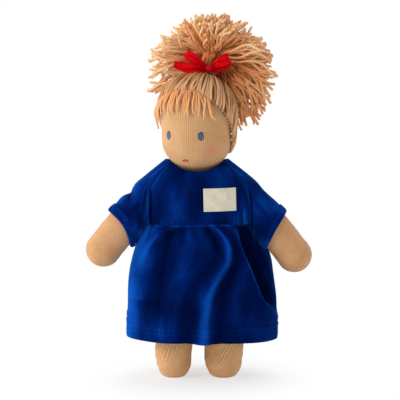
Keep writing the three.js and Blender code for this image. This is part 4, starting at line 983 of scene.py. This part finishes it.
def makeTuft():
    random = np.random.default_rng(11)
    bunches = np.array([local for local, _ in tuftDirections(tuft["bunches"], random)])
    names = {"pony_tail_" + str(quarter): [] for quarter in (1, 2, 3, 4)}
    down = -np.array([tuftAcross[2], tuftBeside[2], tuftPole[2]])
    dealt = tuftDirections(tuft["strands"], random)
    dealt += [(unit(local + random.normal(size=3) * 0.08), world) for local, world in dealt
              if world[0] > 0.2 and world[2] < 0.45]
    for local, world in dealt:
        nearest = bunches[np.argmax(bunches @ local)]
        spread = unit(local + (nearest - local) * random.uniform(0.1, 0.75))
        rise = world[2]
        reach = tuft["side"] - (tuft["side"] - tuft["top"] if rise > 0 else tuft["hanging"]) * rise
        long = reach * (random.uniform(0.6, 1.0) if random.random() < 0.35 else random.uniform(0.88, 1.04))
        path = strandPath(spread, long, down, random)
        share = np.linspace(0, 1, tuft["steps"])
        distance = np.linalg.norm(path - tuft["heart"], axis=1) / 60
        thick = tuft["radius"] * random.uniform(0.85, 1.12) * (0.55 + 0.45 * smoothStep(share / 0.3))
        # Painted shade deep inside the tuft and painted light on its outer tips, and painted shade on the low
        # strands on the side away from the key lamp
        paintedStrandLight = 0.1 + 0.85 * smoothStep((distance - 0.1) / 0.75) * random.uniform(0.8, 1.05)
        paintedStrandLight = paintedStrandLight - 0.3 * smoothStep(world[0] / 0.6) * smoothStep((0.5 - world[2]) / 0.6)
        tone = np.full_like(share, random.uniform(-1, 1))
        quarter = 1 + int((math.atan2(local[1], local[0]) % (2 * math.pi)) / (math.pi / 2))
        names["pony_tail_" + str(quarter)].append((tuftCentre + turnTuft(path), thick, paintedStrandLight, tone))
    for name, strands in names.items():
        paths, thick, paintedStrandLight, tone = (np.array(part) for part in zip(*strands))
        piece = threadPiece(name, paths, thick, tuftYarn, 6, dict(paintedStrandLight=paintedStrandLight, tone=tone))
        finishPiece(piece, "head", [name])
        print(name, len(strands), "strands")


makeCap()
makeFringe()
makeHairSeam()
makeTuft()
print("hair")


# Ribbon: a band round the tail, a knot in front of it, two loops and two tails of satin

ribbon = dict(width=10.0, wall=0.5, steps=56, across=19, bandRadius=11.3, bandHalf=2.3, bandAt=44.5,
              knotOut=15.1, bandColumns=120, bandRows=28, knot=(3.2, 2.6, 3.3), knotRows=44, knotColumns=72)
bandMiddle = placeHead(crownCentre + headPole * ribbon["bandAt"])
bowOut = unit(np.array([0, -1.0, 0]) + tuftPole * tuftPole[1])
bowPlace = bandMiddle + bowOut * ribbon["knotOut"] - [1.4, 0, 1.2]
# Each piece goes through rows of [x, y, z, share of the ribbon's width, lean in degrees] from the knot
bow = dict(
    ribbon_loop_right=[[-2.6, -0.9, 1.8, 0.3, 12], [-12, -3.6, 7.4, 0.85, 32], [-19.5, -3.4, 12.6, 0.9, 38],
                       [-22.8, -1.2, 15, 0.85, 40], [-19.8, 0.8, 14, 0.85, 38], [-12, 1, 8.6, 0.75, 32],
                       [-2.6, 1.4, 2, 0.3, 12]],
    ribbon_loop_left=[[2.6, -0.9, 1.8, 0.3, -12], [10, -3.6, 5.4, 0.9, -24], [16.5, -3.4, 8.6, 1, -24],
                      [20.5, -1.2, 10.2, 0.9, -24], [17, 0.8, 9.6, 0.9, -24], [10, 1, 6.4, 0.8, -20],
                      [2.6, 1.4, 2, 0.3, -12]],
    ribbon_tail_right=[[-2.6, -1.4, -1.6, 0.28, 0], [-14, -6.2, -0.4, 0.8, 6], [-23, -7.2, 1.4, 1, 10],
                       [-34, -6.4, 4.6, 0.6, 14]],
    ribbon_tail_left=[[2.6, 0.8, -0.6, 0.28, 0], [10, 2.8, 0.6, 0.6, -8], [16, 3, 2.8, 0.7, -12],
                      [22, 2.8, 5, 0.7, -14]],
)


# A strip of ribbon, pleated where it is narrower than it was woven
def ribbonStrip(name, rows, seed):
    rows = np.array(rows, float)
    t = np.linspace(0, len(rows) - 1, ribbon["steps"])
    keys = through(np.column_stack([np.arange(len(rows)), rows]), t)
    path, share, lean = keys[:, :3], np.clip(keys[:, 3], 0.2, 1), np.radians(keys[:, 4])
    ahead = unit(np.gradient(path, axis=0))
    rough = pointsAt(np.sin(lean), 0, np.cos(lean))
    wide = unit(rough - ahead * (rough * ahead).sum(-1, keepdims=True))
    thick = np.cross(ahead, wide)
    across = np.linspace(-1, 1, ribbon["across"])[None, :, None]
    share = share[:, None, None]
    ripple = np.cos(across * math.pi * 2.5 + seed)
    pleats = ripple * 1.5 * (1 - share) ** 0.8
    along = t[:, None, None]
    soft = 0.35 * np.sin(across * 2.6 + along * 1.7 + seed * 3)
    soft = soft - 0.5 * across ** 2 * np.sin(along * 1.3 + seed)
    points = path[:, None] + wide[:, None] * across * share * ribbon["width"] / 2
    points = points + thick[:, None] * (pleats + soft)
    # Painted highlights and painted shade along the strip's pleats and ripples
    paintedHighlightAndShade = 0.75 * ripple * (1 - share) ** 0.4 + 0.5 * np.sin(across * 5 + along * 2 + seed)
    piece = gridPiece(name, bowPlace + points, satin, closed=False, attributes=dict(paintedHighlightAndShade=paintedHighlightAndShade[..., 0]))
    thicken(piece, ribbon["wall"], 0.0)
    finishPiece(piece, "head", [name.replace("ribbon", "bow")])


def makeRibbon():
    turn = turnAngles(ribbon["bandColumns"])
    c, s = squared(turnAngles(ribbon["bandRows"]), 6.0)
    wave = 0.3 * np.sin(turn * 5)[None, :] + 0.45 * np.sin(turn * 2 + 1)[None, :]
    folds = 0.3 * np.cos(s * 8)[:, None] * (c > 0)[:, None]
    radius = ribbon["bandRadius"] + c[:, None] * 0.42 + folds
    level = s[:, None] * ribbon["bandHalf"] + wave * 0.5
    points = bandMiddle + turnTuft(pointsAt(radius * np.cos(turn), radius * np.sin(turn), level))
    band = gridPiece("ribbon_band", points, satin, looped=True)
    finishPiece(band, "head", ["ribbon_band"])
    wide, deep, high = ribbon["knot"]
    lift = np.linspace(-math.pi / 2, math.pi / 2, ribbon["knotRows"])[1:-1, None]
    c, s = squared(turnAngles(ribbon["knotColumns"]), 2.6)
    level = np.sin(lift)
    belly = np.cos(lift) ** 0.75
    fold = 1 + 0.07 * np.cos(c * 9 + level * 1.5) * np.cos(lift)
    x = wide * belly * c * fold * (1 + 0.16 * level ** 2)
    y = deep * belly * s * fold
    points = pointsAt(x + 0.3 * level, y, high * level)
    knot = gridPiece("bow_knot", bowPlace + points, satin,
                     poles=(bowPlace - [0.3, 0, high], bowPlace + [0.3, 0, high]), inside=bowPlace)
    finishPiece(knot, "head", ["bow_knot"])
    for seed, (name, rows) in enumerate(bow.items()):
        ribbonStrip(name, rows, seed + 0.4)


makeRibbon()
print("ribbon")


# Dress of velour: front and back panels, raglan sleeves and a gathered skirt

dress = dict(wall=1.1, sleeveWall=0.9, high=63.5, hole=(29.6, 25.4), slit=0.4, girth=21.5, sleeve=58.0,
             follows=(50.0, 68.0), rows=110, frontColumns=150, backColumns=80, sleeveRows=76,
             sleeveColumns=160)
# Half width and half depth of the body's section, by share of the way from the waist to the collar
bodiceSections = [[0, 49.3, 33.8], [0.18, 50.8, 34.3], [0.38, 46.8, 33.3], [0.58, 40, 30.9], [0.74, 35.5, 29],
                  [0.86, 33, 27], [1, 31, 25]]
# The seam between a panel and a sleeve: share of the way from the sleeve's top to its foot, x, depth, z
raglan = [[0, 31.5, 0, 220.8], [0.05, 30.2, 7.5, 220.2], [0.1, 26.6, 13.6, 218.6], [0.2, 32.2, 16.2, 212.6],
          [0.34, 39.6, 19.6, 203.6], [0.46, 45.8, 21.8, 194.6], [0.6, 49.8, 23, 182], [0.76, 51, 21.2, 169],
          [0.91, 51, 12.5, 156.6], [1, 50.4, 0, 154.6]]
# Rings of a sleeve: its top and its foot along and across the arm, and its half depth, by length and girth
sleeveRings = [[0.115, 0.73, 0.8, -0.92, 1.06], [0.35, 0.76, 0.88, -0.98, 1.02],
               [0.62, 0.88, 0.99, -1.06, 0.99], [0.87, 0.98, 1.12, -0.94, 0.97]]


def necklineHeight(x):
    return doll["collar"] + 6 + 9.5 * np.minimum(1.4, (x / 31) ** 2)


def sectionDepth(height):
    return through(bodiceSections, (height - doll["waist"]) / dress["high"])[..., 1]


# A panel between the raglan seams, from the waist up to the collar: ahead is -1 for the front, 1 for the back
def panelPoints(ahead, shares):
    v = np.linspace(0, 1, dress["rows"])[:, None]
    u = shares[None, :]
    edge = through(raglan, 0.91 - v[:, 0] * 0.81)
    edgeX, edgeY, edgeZ = (edge[:, i:i + 1] for i in range(3))
    middleZ = doll["waist"] + v * (necklineHeight(0) - doll["waist"])
    middleY = sectionDepth(middleZ)
    bulge = np.maximum(1 - np.abs(u) ** 2.5, 0) ** 0.8
    x = u * edgeX
    z = middleZ + (edgeZ - middleZ) * np.abs(u) ** 2.2
    y = edgeY + (middleY - edgeY) * bulge
    top = smoothStep((v - 0.9) / 0.1)
    hole = dress["hole"][1] * np.sqrt(np.maximum(1 - (x / dress["hole"][0]) ** 2, 0.02))
    y = y * (1 - top) + hole * top
    z = z * (1 - top) + np.minimum(z, necklineHeight(x)) * top
    relief = -0.9 * hump((1 - np.abs(u)) * 50, 1.3)
    if ahead < 0:
        relief = relief + frontFolds(x, z)
    above = z - necklineHeight(x)
    relief = relief - 0.4 * hump(above + 4.2, 0.7) * (z > 205)
    relief = relief + 0.5 * smoothStep((above + 4.4) / 0.8) * (z > 203)
    points = pointsAt(x, ahead * (y + relief), z)
    inwards = -unit(points[-1] * [1, 1, 0])
    turned = points[-1] + inwards * np.array([0.7, 1.2, 1.4, 1.6])[:, None, None]
    turned = turned + np.array([0, 0, 1.0]) * np.array([0.4, -0.2, -2.5, -5])[:, None, None]
    return np.concatenate([points, turned])


# Soft folds of the front: beside each raglan seam, and up from the waist
def frontFolds(x, z):
    low = smoothStep((196 - z) / 10) * smoothStep((z - 154) / 8)
    right = low * (0.9 * hump(x + 48.6, 1.5) - 1.5 * hump(x + 45.4, 1.3))
    slant = (170 - z) * 0.1
    left = smoothStep((176 - z) / 8) * (0.9 * hump(x - 46.4 - slant, 1.3) - 0.7 * hump(x - 43.6 - slant, 1.4))
    cloth = 0.35 * np.sin(x / 9 + z / 17) + 0.3 * np.sin(x / 5.5 - z / 12 + 1)
    gather = 0.35 * np.sin(x * 1.25 + 1.5 * np.sin(x / 6)) * smoothStep((167 - z) / 11)
    waist = -1.1 * smoothStep((159 - z) / 3)
    return right + left + cloth + gather + waist


def panelPiece(name, ahead, shares, node):
    points = panelPoints(ahead, shares)
    # Painted highlights on the front's folds and painted shade in their hollows
    paintedHighlightAndShade = np.zeros(points.shape[:2])
    if ahead < 0:
        paintedHighlightAndShade += 0.7 * frontFolds(points[..., 0], points[..., 2])
    piece = gridPiece(name, points, velour, closed=False, inside=[0, 0, 185], attributes=dict(paintedHighlightAndShade=paintedHighlightAndShade))
    thicken(piece, dress["wall"])
    finishPiece(piece, "torso", [node])
    return piece


def makeBodice():
    shares = np.linspace(-1, 1, dress["frontColumns"])
    front = panelPiece("bodice_front", -1, shares, "bodice_front")
    for name, side in (("bodice_back_right", -1), ("bodice_back_left", 1)):
        shares = side * np.linspace(dress["slit"] / 50, 1, dress["backColumns"])
        panelPiece(name, 1, shares, "bodice_back")
    return front


# A sleeve from its raglan seam to its turned hem, with its painted highlights and shade: side is -1 for the
# right
def sleevePoints(side):
    theta = turnAngles(dress["sleeveColumns"])
    share = np.where(theta <= math.pi, theta / math.pi, 2 - theta / math.pi)
    ahead = np.where(theta <= math.pi, -1.0, 1.0)
    seam = through(raglan, share)
    _, x, lean, _ = limb["arms"][(side + 1) // 2]
    along, across, root = armFrame(1, abs(x), lean)
    keys = [pointsAt(seam[:, 0], ahead * seam[:, 1], seam[:, 2])]
    for topAlong, topAcross, lowAlong, lowAcross, deep in sleeveRings:
        top = root + along * topAlong * dress["sleeve"] + across * topAcross * dress["girth"]
        reach = lowAlong * (1 if side < 0 else 1.05)
        low = root + along * reach * dress["sleeve"] + across * lowAcross * dress["girth"]
        ring = (top + low) / 2 + (top - low) / 2 * np.cos(theta)[:, None]
        keys.append(ring + np.array([0, -1.0, 0]) * (np.sin(theta) * deep * dress["girth"])[:, None])
    drawnUp = 6.5 * np.maximum(np.sin(theta), 0) ** 2 * (1 if side < 0 else 0.3)
    keys[-1] = keys[-1] - along * drawnUp[:, None]
    at = [0, 0.3, 0.52, 0.76, 1]
    t = np.linspace(0, 1, dress["sleeveRows"])
    flat = np.stack([through(np.column_stack([at, column]), t) for column in np.stack(keys, 1)], 1)
    centre = flat.mean(1, keepdims=True)
    outward = unit(flat - centre - along * ((flat - centre) @ along)[..., None])
    t = t[:, None]
    angle = theta[None, :]
    hem = smoothStep((t - 0.855) / 0.02)
    relief = 1.3 * hem - 1.1 * hump(t - 0.86, 0.014)
    relief = relief - 0.45 * (hump(t - 0.885, 0.008) * (0.5 + 0.5 * np.sin(angle * 44)))
    sewn = smoothStep((share[None, :] - 0.06) / 0.1)
    relief = relief + sewn * (-0.8 * hump(t, 0.035) + 1.0 * hump(t - 0.09, 0.06)) - 0.8 * hump(t - 1, 0.02)
    under = hump(angle - math.pi, 0.9)
    folds = 0.9 * np.sin(t * 15 - 2 * np.cos(angle) + side) * under * smoothStep(t / 0.2) * (1 - hem)
    folds = folds * (1 - hump(angle - math.pi, 0.45))
    drawn = smoothStep(np.sin(angle) / 0.5) * smoothStep((share[None, :] - 0.3) / 0.15)
    folds = folds - 1.7 * hump(t - (0.15 if side < 0 else 0.19), 0.03) * drawn
    waves = 0.7 * np.sin(angle * 3 + t * 5 + side * 2) * smoothStep((t - 0.1) / 0.3)
    folds = folds + waves * (1 - 0.6 * hem) * sewn
    if side < 0:
        top = smoothStep((np.cos(angle) - 0.5) / 0.5)
        folds = folds + top * (0.8 * hump(t - 0.38, 0.08) - 1.8 * hump(t - 0.56, 0.05)
                               + 1.0 * hump(t - 0.7, 0.07))
    flat = flat + outward * (relief + folds)[..., None]
    edge = flat[-1] - outward[-1] * 1.1 + along * 0.15
    inner = edge[None] - along * np.linspace(0.8, 9, 8)[:, None, None] - outward[-1] * 0.5
    neckPart = (1 - smoothStep((share - 0.08) / 0.08))[:, None]
    inwards = -unit(flat[0] * [1, 1, 0])
    tuck = flat[0] + inwards * 1.3 - np.array([0, 0, 0.3])
    deep = flat[0] + inwards * 2 - np.array([0, 0, 6]) * neckPart - along * 3.5 * (1 - neckPart)
    flat = np.concatenate([deep[None], tuck[None], flat, edge[None], inner])
    # Painted highlights on the sleeve's ridges and painted shade in its creases
    paintedHighlightAndShade = np.pad(0.1 + 0.5 * (np.minimum(relief, 0.35) + folds), ((2, 9), (0, 0)), mode="edge")
    return flat * np.array([side, 1, 1]), paintedHighlightAndShade


def makeSleeves():
    for name, side in (("right_sleeve", -1), ("left_sleeve", 1)):
        points, paintedHighlightAndShade = sleevePoints(side)
        piece = gridPiece(name, points, velour, inside=points[40].mean(0), attributes=dict(paintedHighlightAndShade=paintedHighlightAndShade))
        thicken(piece, dress["sleeveWall"])
        finishPiece(piece, None, [name])
        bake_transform(piece)


skirt = dict(width=(49.3, 25.2), depth=(33.8, 14.2), high=115.7, top=158.2, shift=5.8, rows=172, columns=500,
             beside=5.5)
# Folds as [share of the way down, degrees from the front], half widths in degrees on each side, height, how
# much painted highlight lies along it, below 0 painted shade, and the share by which it has gone
frontFold = [[0, 14], [0.03, 18.5], [0.06, 20.5], [0.13, 22.5], [0.22, 21], [0.32, 18], [0.41, 11.7],
             [0.5, 6.9], [0.58, 4.1], [0.68, 2.6], [0.8, 1.6], [1, 0.5]]
skirtFolds = [
    (frontFold, 5.2, 3.6, 6.5, 0.1, 9),
    (frontFold, 3.4, 2.3, 0, 1.05, 9),
    ([[0, 8], [0.12, 14], [0.25, 12], [0.4, 3], [0.55, -5], [0.78, -7], [1, -8]], 6, 5, -2.6, -0.35, 9),
    ([[0, 25], [0.12, 31], [0.25, 29], [0.4, 22], [0.55, 14], [0.78, 12], [1, 11]], 5, 7, -2.6, -0.5, 9),
    ([[0, 43], [0.12, 36.6], [0.24, 34.8], [0.38, 37.5], [0.52, 42], [0.65, 49], [0.72, 60], [0.8, 76],
      [1, 92]], 13, 3.2, 7.5, -0.1, 0.86),
    ([[0, 44], [0.12, 37.8], [0.24, 36], [0.38, 38.7], [0.52, 43.4], [0.65, 50.6], [0.72, 61.6], [0.8, 78],
      [1, 94]], 2.2, 1.2, 0.3, 0.7, 0.8),
    ([[0, 56], [0.12, 45.6], [0.24, 43.8], [0.38, 46.5], [0.52, 51], [0.65, 59], [0.72, 71], [0.8, 88],
      [1, 104]], 4.5, 15, -13, -1.1, 0.8),
    ([[0, 82], [0.2, 58], [0.4, 60], [0.6, 74], [1, 110]], 3, 3, 2.6, 0.5, 0.62),
    ([[0, -28], [0.06, -36], [0.14, -46], [0.25, -54], [0.4, -60], [1, -62]], 6, 6, 1.8, 0.7, 0.46),
    ([[0, -20], [0.12, -30], [0.3, -31], [0.6, -31], [1, -33]], 9, 10, -1.6, -0.75, 0.7),
    ([[0, -17], [0.15, -21], [0.5, -23], [1, -24]], 9, 9, 1.4, 0.15, 9),
    ([[0, -74], [0.5, -72], [1, -76]], 20, 23, 2.6, 1.05, 9),
    ([[0, -4], [0.2, -9], [1, -12]], 6, 6, 0.4, 0.35, 0.6),
    ([[0, 9], [0.06, 10.5], [0.12, 13], [0.2, 15]], 3, 2, -1.5, -0.9, 0.34),
    ([[0, -19], [0.06, -22.5], [0.12, -26], [0.2, -29]], 2.6, 1.8, -1.6, -0.75, 0.36),
    ([[0, -33], [0.06, -37], [0.12, -41], [0.2, -45]], 2.4, 2.4, -1.0, -0.5, 0.3),
    ([[0, 60], [0.2, 48], [0.5, 54], [0.7, 74], [1, 110]], 2, 34, 0, -0.35, 0.8),
    ([[0, 128], [0.5, 124], [1, 126]], 11, 13, 4.5, 0.4, 9),
    ([[0, 170], [0.5, 176], [1, 172]], 13, 11, 5, 0.4, 9),
    ([[0, 218], [0.5, 214], [1, 222]], 13, 13, 4.5, 0.4, 9),
    ([[0, 256], [0.5, 252], [1, 256]], 13, 13, 4, 0.4, 9),
]
# How far a hanging sleeve or arm reaches below its middle, by millimetres from the shoulder
underArm = [[40, 19.5], [48, 20.8], [54, 23], [58, 23.9], [62, 24], [66, 22.4], [71, 18.2], [110, 18.2]]


# Pushes cloth in towards the body where an arm or its sleeve hangs
def clearOfArms(points, room=0.6):
    for side, x, lean, length in limb["arms"]:
        along, _, root = armFrame(side, x, lean)
        for _ in range(6):
            t = np.clip((points - root) @ along, 0, length)
            radius = through(underArm, t, steady=True)[..., 0] + room
            away = np.linalg.norm(points - root - along * t[..., None], axis=-1)
            near = smoothStep((doll["waist"] - 2 - points[..., 2]) / 8) * np.maximum(radius - away, 0)
            points[..., 0] -= side * near * 0.9
    return points


# The skirt hangs over two legs, so it is made in halves that meet beside a fold in front and along one behind
def skirtPoints(start, end):
    s = np.linspace(-0.02, 1, skirt["rows"])[:, None]
    share = np.linspace(0, 1, skirt["columns"] // 2 + 1)[None, :]
    angle = through(start, s[:, 0]) * (1 - share) + through(end, s[:, 0]) * share
    turn = np.radians(angle)
    flare = 1 - (1 - np.maximum(s, 0)) ** 3.4
    wide = skirt["width"][0] + skirt["width"][1] * flare
    deep = skirt["depth"][0] + skirt["depth"][1] * np.maximum(s, 0) ** 0.8
    rise = 0.8 - 2.0 * (1 - smoothStep((s + 0.02) / 0.025)) + 7 * hump(s - 0.27, 0.16) * hump(angle - 112, 27)
    # Painted light: a bright line along the waist seam and along the hem's stitch lines, and a patch of
    # painted shade low on the front
    paintedHighlightAndShade = -0.1 + 0.6 * hump(s - 0.003, 0.009) - 0.55 * hump(s - 0.7, 0.09) * hump(angle + 38, 24)
    paintedHighlightAndShade = paintedHighlightAndShade + 0.35 * (hump(s - 0.885, 0.006) + hump(s - 0.925, 0.006)) * (0.6 + 0.4 * np.sin(turn * 90))
    for path, before, after, height, paintedFoldLight, gone in skirtFolds:
        off = fromFront(angle - through(path, s[:, 0]))
        fold = hump(off, np.where(off < 0, before, after)) * (1 - smoothStep((s - gone + 0.22) / 0.22))
        rise = rise + height * fold * smoothStep(s / 0.22)
        paintedHighlightAndShade = paintedHighlightAndShade + paintedFoldLight * fold * smoothStep(s / 0.05)
    gather = np.sin(turn * 23 + 3 * np.sin(turn * 5)) * hump(s - 0.05, 0.07)
    gather = gather * (0.35 + 0.45 * np.sin(turn * 3) ** 2)
    cloth = 0.5 * np.sin(turn * 9 + s * 7) + 0.4 * np.sin(turn * 5 - s * 11 + 2)
    crease = 0.6 * hump(angle + 52, 22) * (hump(s - 0.63, 0.02) - hump(s - 0.66, 0.03))
    edge = smoothStep((s - 0.79) / 0.03) * 1.3 - 1.0 * hump(s - 0.862, 0.01) + 0.6 * hump(s - 0.88, 0.012)
    stitches = -0.7 * hump(s - 0.918, 0.008) * (0.55 + 0.45 * np.sin(turn * 130))
    rise = rise + gather + cloth * smoothStep(s / 0.3) + crease + edge + stitches
    rise = rise - 0.7 * smoothStep((s - 0.97) / 0.03)
    # The gathers, ripples and crease add painted highlights on their ridges and painted shade in their
    # hollows
    paintedHighlightAndShade = paintedHighlightAndShade + 0.5 * gather + 0.25 * cloth * smoothStep(s / 0.3) + 0.4 * crease
    across, ahead = squared(turn - math.pi / 2, bodyPower)[0], squared(turn, bodyPower)[0]
    x = skirt["shift"] * flare + (wide + 0.6 * rise) * across
    y = -(deep + rise) * ahead
    z = skirt["top"] - s * skirt["high"] - 1.6 * s ** 2 * across + 0.7 * s * np.sin(turn * 2 + 0.5)
    waist = 1.8 * hump(angle + 72, 13) - 1.6 * hump(angle + 44, 9) + 0.4 * np.sin(turn * 5)
    z = z + waist * (1 - smoothStep(s / 0.1))
    return clearOfArms(pointsAt(x, y, z)), paintedHighlightAndShade


def makeSkirt():
    before = [[at, turn + skirt["beside"]] for at, turn in frontFold]
    back = [[0, 176], [0.5, 182], [1, 178]]
    behind = [[at, turn - 360] for at, turn in back]
    for name, start, end, leg, flat in (("skirt_right", behind, before, "right_leg_swing", 215),
                                        ("skirt_left", before, back, "left_leg_swing", 184)):
        points, paintedHighlightAndShade = skirtPoints(start, end)
        piece = gridPiece(name, points, velour, closed=False, inside=[0, 0, 100],
                          attributes=dict(paintedHighlightAndShade=paintedHighlightAndShade))
        thicken(piece, dress["wall"])
        finishPiece(piece, "torso", ["skirt"])
        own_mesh(piece)


def treeOf(piece):
    mesh = piece.data
    return BVHTree.FromPolygons([piece.matrix_world @ v.co for v in mesh.vertices],
                                [list(face.vertices) for face in mesh.polygons])


# The y of a piece's face at places x, z of the doll, seen from the front at -1 or the back at 1
def faceOf(tree, x, z, ahead):
    found = np.zeros(np.shape(x))
    for i in np.ndindex(*np.shape(x)):
        start = Vector(place([x[i], ahead * 120, z[i]]) * mm)
        hit = tree.ray_cast(start, Vector((0, -ahead, 0)))[0]
        found[i] = hit[1] / mm - doll["axis"][1] if hit else ahead * 30
    return found


label = dict(x=(6.4, 38.4), z=(172.2, 194.6), turn=1.3, wall=0.6, rise=0.75, margin=1.3, rows=36, columns=50,
             stitch=2.1, stitchPoints=7, thread=0.2)


def labelPoint(tree, a, b, rise):
    (x0, x1), (z0, z1) = label["x"], label["z"]
    turn = radians(label["turn"])
    x, z = a * (x1 - x0) / 2, b * (z1 - z0) / 2
    x, z = x * math.cos(turn) - z * math.sin(turn), x * math.sin(turn) + z * math.cos(turn)
    x, z = x + (x0 + x1) / 2, z + (z0 + z1) / 2
    return pointsAt(x, faceOf(tree, x, z, -1) - rise, z)


def makeLabel(front):
    tree = treeOf(front)
    a, b = np.meshgrid(np.linspace(-1, 1, label["columns"]), np.linspace(-1, 1, label["rows"]))
    points = labelPoint(tree, a, b, label["rise"])
    piece = gridPiece("label", points, tape, closed=False, inside=[0, 0, 180])
    thicken(piece, label["wall"])
    finishPiece(piece, "torso", ["label"])
    half = np.array([label["x"][1] - label["x"][0], label["z"][1] - label["z"][0]]) / 2
    inner = half - label["margin"]
    corners = np.array([[-1, -1], [1, -1], [1, 1], [-1, 1], [-1, -1]]) * inner
    paths = []
    for start, end in zip(corners, corners[1:]):
        count = int(np.linalg.norm(end - start) // (label["stitch"] * 1.35))
        for k in range(count):
            t = (k + np.linspace(0.14, 0.86, label["stitchPoints"])) / count
            spot = start + (end - start) * t[:, None]
            arch = np.sin(np.linspace(0, math.pi, label["stitchPoints"]))
            at = labelPoint(tree, spot[:, 0] / half[0], spot[:, 1] / half[1], 0)
            paths.append(at - pointsAt(0, label["rise"] - 0.1 + 0.28 * arch, 0))
    stitches = threadPiece("label_stitches", paths, label["thread"], creamThread, 6, dict(tone=0.6))
    finishPiece(stitches, "torso", ())


button = dict(height=202.5, radius=4.5, thick=2.2, sides=96, lean=17.0, off=0.4, hole=0.65, holeOut=1.35,
              rim=1.0, paintedFoldShade=0.45, round=0.35, loop=5.4, thread=0.6)


def makeButton():
    lean = radians(button["lean"])
    up, out = np.array([0, -math.sin(lean), math.cos(lean)]), np.array([0, math.cos(lean), math.sin(lean)])
    cloth = np.array([0, float(sectionDepth(np.array(button["height"]))), button["height"]])
    middle = place(cloth + out * (button["off"] + button["thick"] / 2)) * mm
    facing = (lean - math.pi / 2, 0, 0)
    bpy.ops.mesh.primitive_cylinder_add(vertices=button["sides"], radius=button["radius"] * mm,
                                        depth=button["thick"] * mm, location=tuple(middle), rotation=facing)
    piece = bpy.context.object
    piece.name = "back_button"
    bpy.ops.object.mode_set(mode="EDIT")
    bpy.ops.mesh.select_all(action="DESELECT")
    bpy.ops.mesh.select_face_by_sides(number=button["sides"])
    bpy.ops.mesh.inset(thickness=button["rim"] * mm, depth=0)
    bpy.ops.mesh.inset(thickness=button["round"] * mm, depth=-button["paintedFoldShade"] * mm)
    bpy.ops.object.mode_set(mode="OBJECT")
    applyModifier(piece, "BEVEL", width=button["round"] * mm, segments=4, angle_limit=radians(40))
    for aside, above in ((1, 1), (1, -1), (-1, 1), (-1, -1)):
        at = middle + (np.array([aside, 0, 0]) + up * above) * button["holeOut"] / math.sqrt(2) * mm
        bpy.ops.mesh.primitive_cylinder_add(vertices=24, radius=button["hole"] * mm, depth=6 * mm,
                                            location=tuple(at), rotation=facing)
        drill = bpy.context.object
        applyModifier(piece, "BOOLEAN", object=drill, operation="DIFFERENCE", solver="EXACT")
        bpy.data.objects.remove(drill)
    selectOnly(piece)
    bpy.ops.object.transform_apply(location=True, rotation=True, scale=True)
    shadeByAngle(piece, 35)
    piece.data.materials.clear()
    piece.data.materials.append(buttonPlastic)
    finishPiece(piece, "torso", ["back_button"])
    turn = np.linspace(0, 2 * math.pi, 97)[:, None]
    path = cloth + out * 0.5 + (np.cos(turn) * np.array([1, 0, 0]) + np.sin(turn) * up) * button["loop"]
    loop = threadPiece("button_loop", path[None], button["thread"], navyThread, 10, dict(tone=0.5))
    finishPiece(loop, "torso", ["button_loop"])


bodiceFront = makeBodice()
makeSleeves()
makeSkirt()
makeLabel(bodiceFront)
makeButton()
print("dress, label and button")
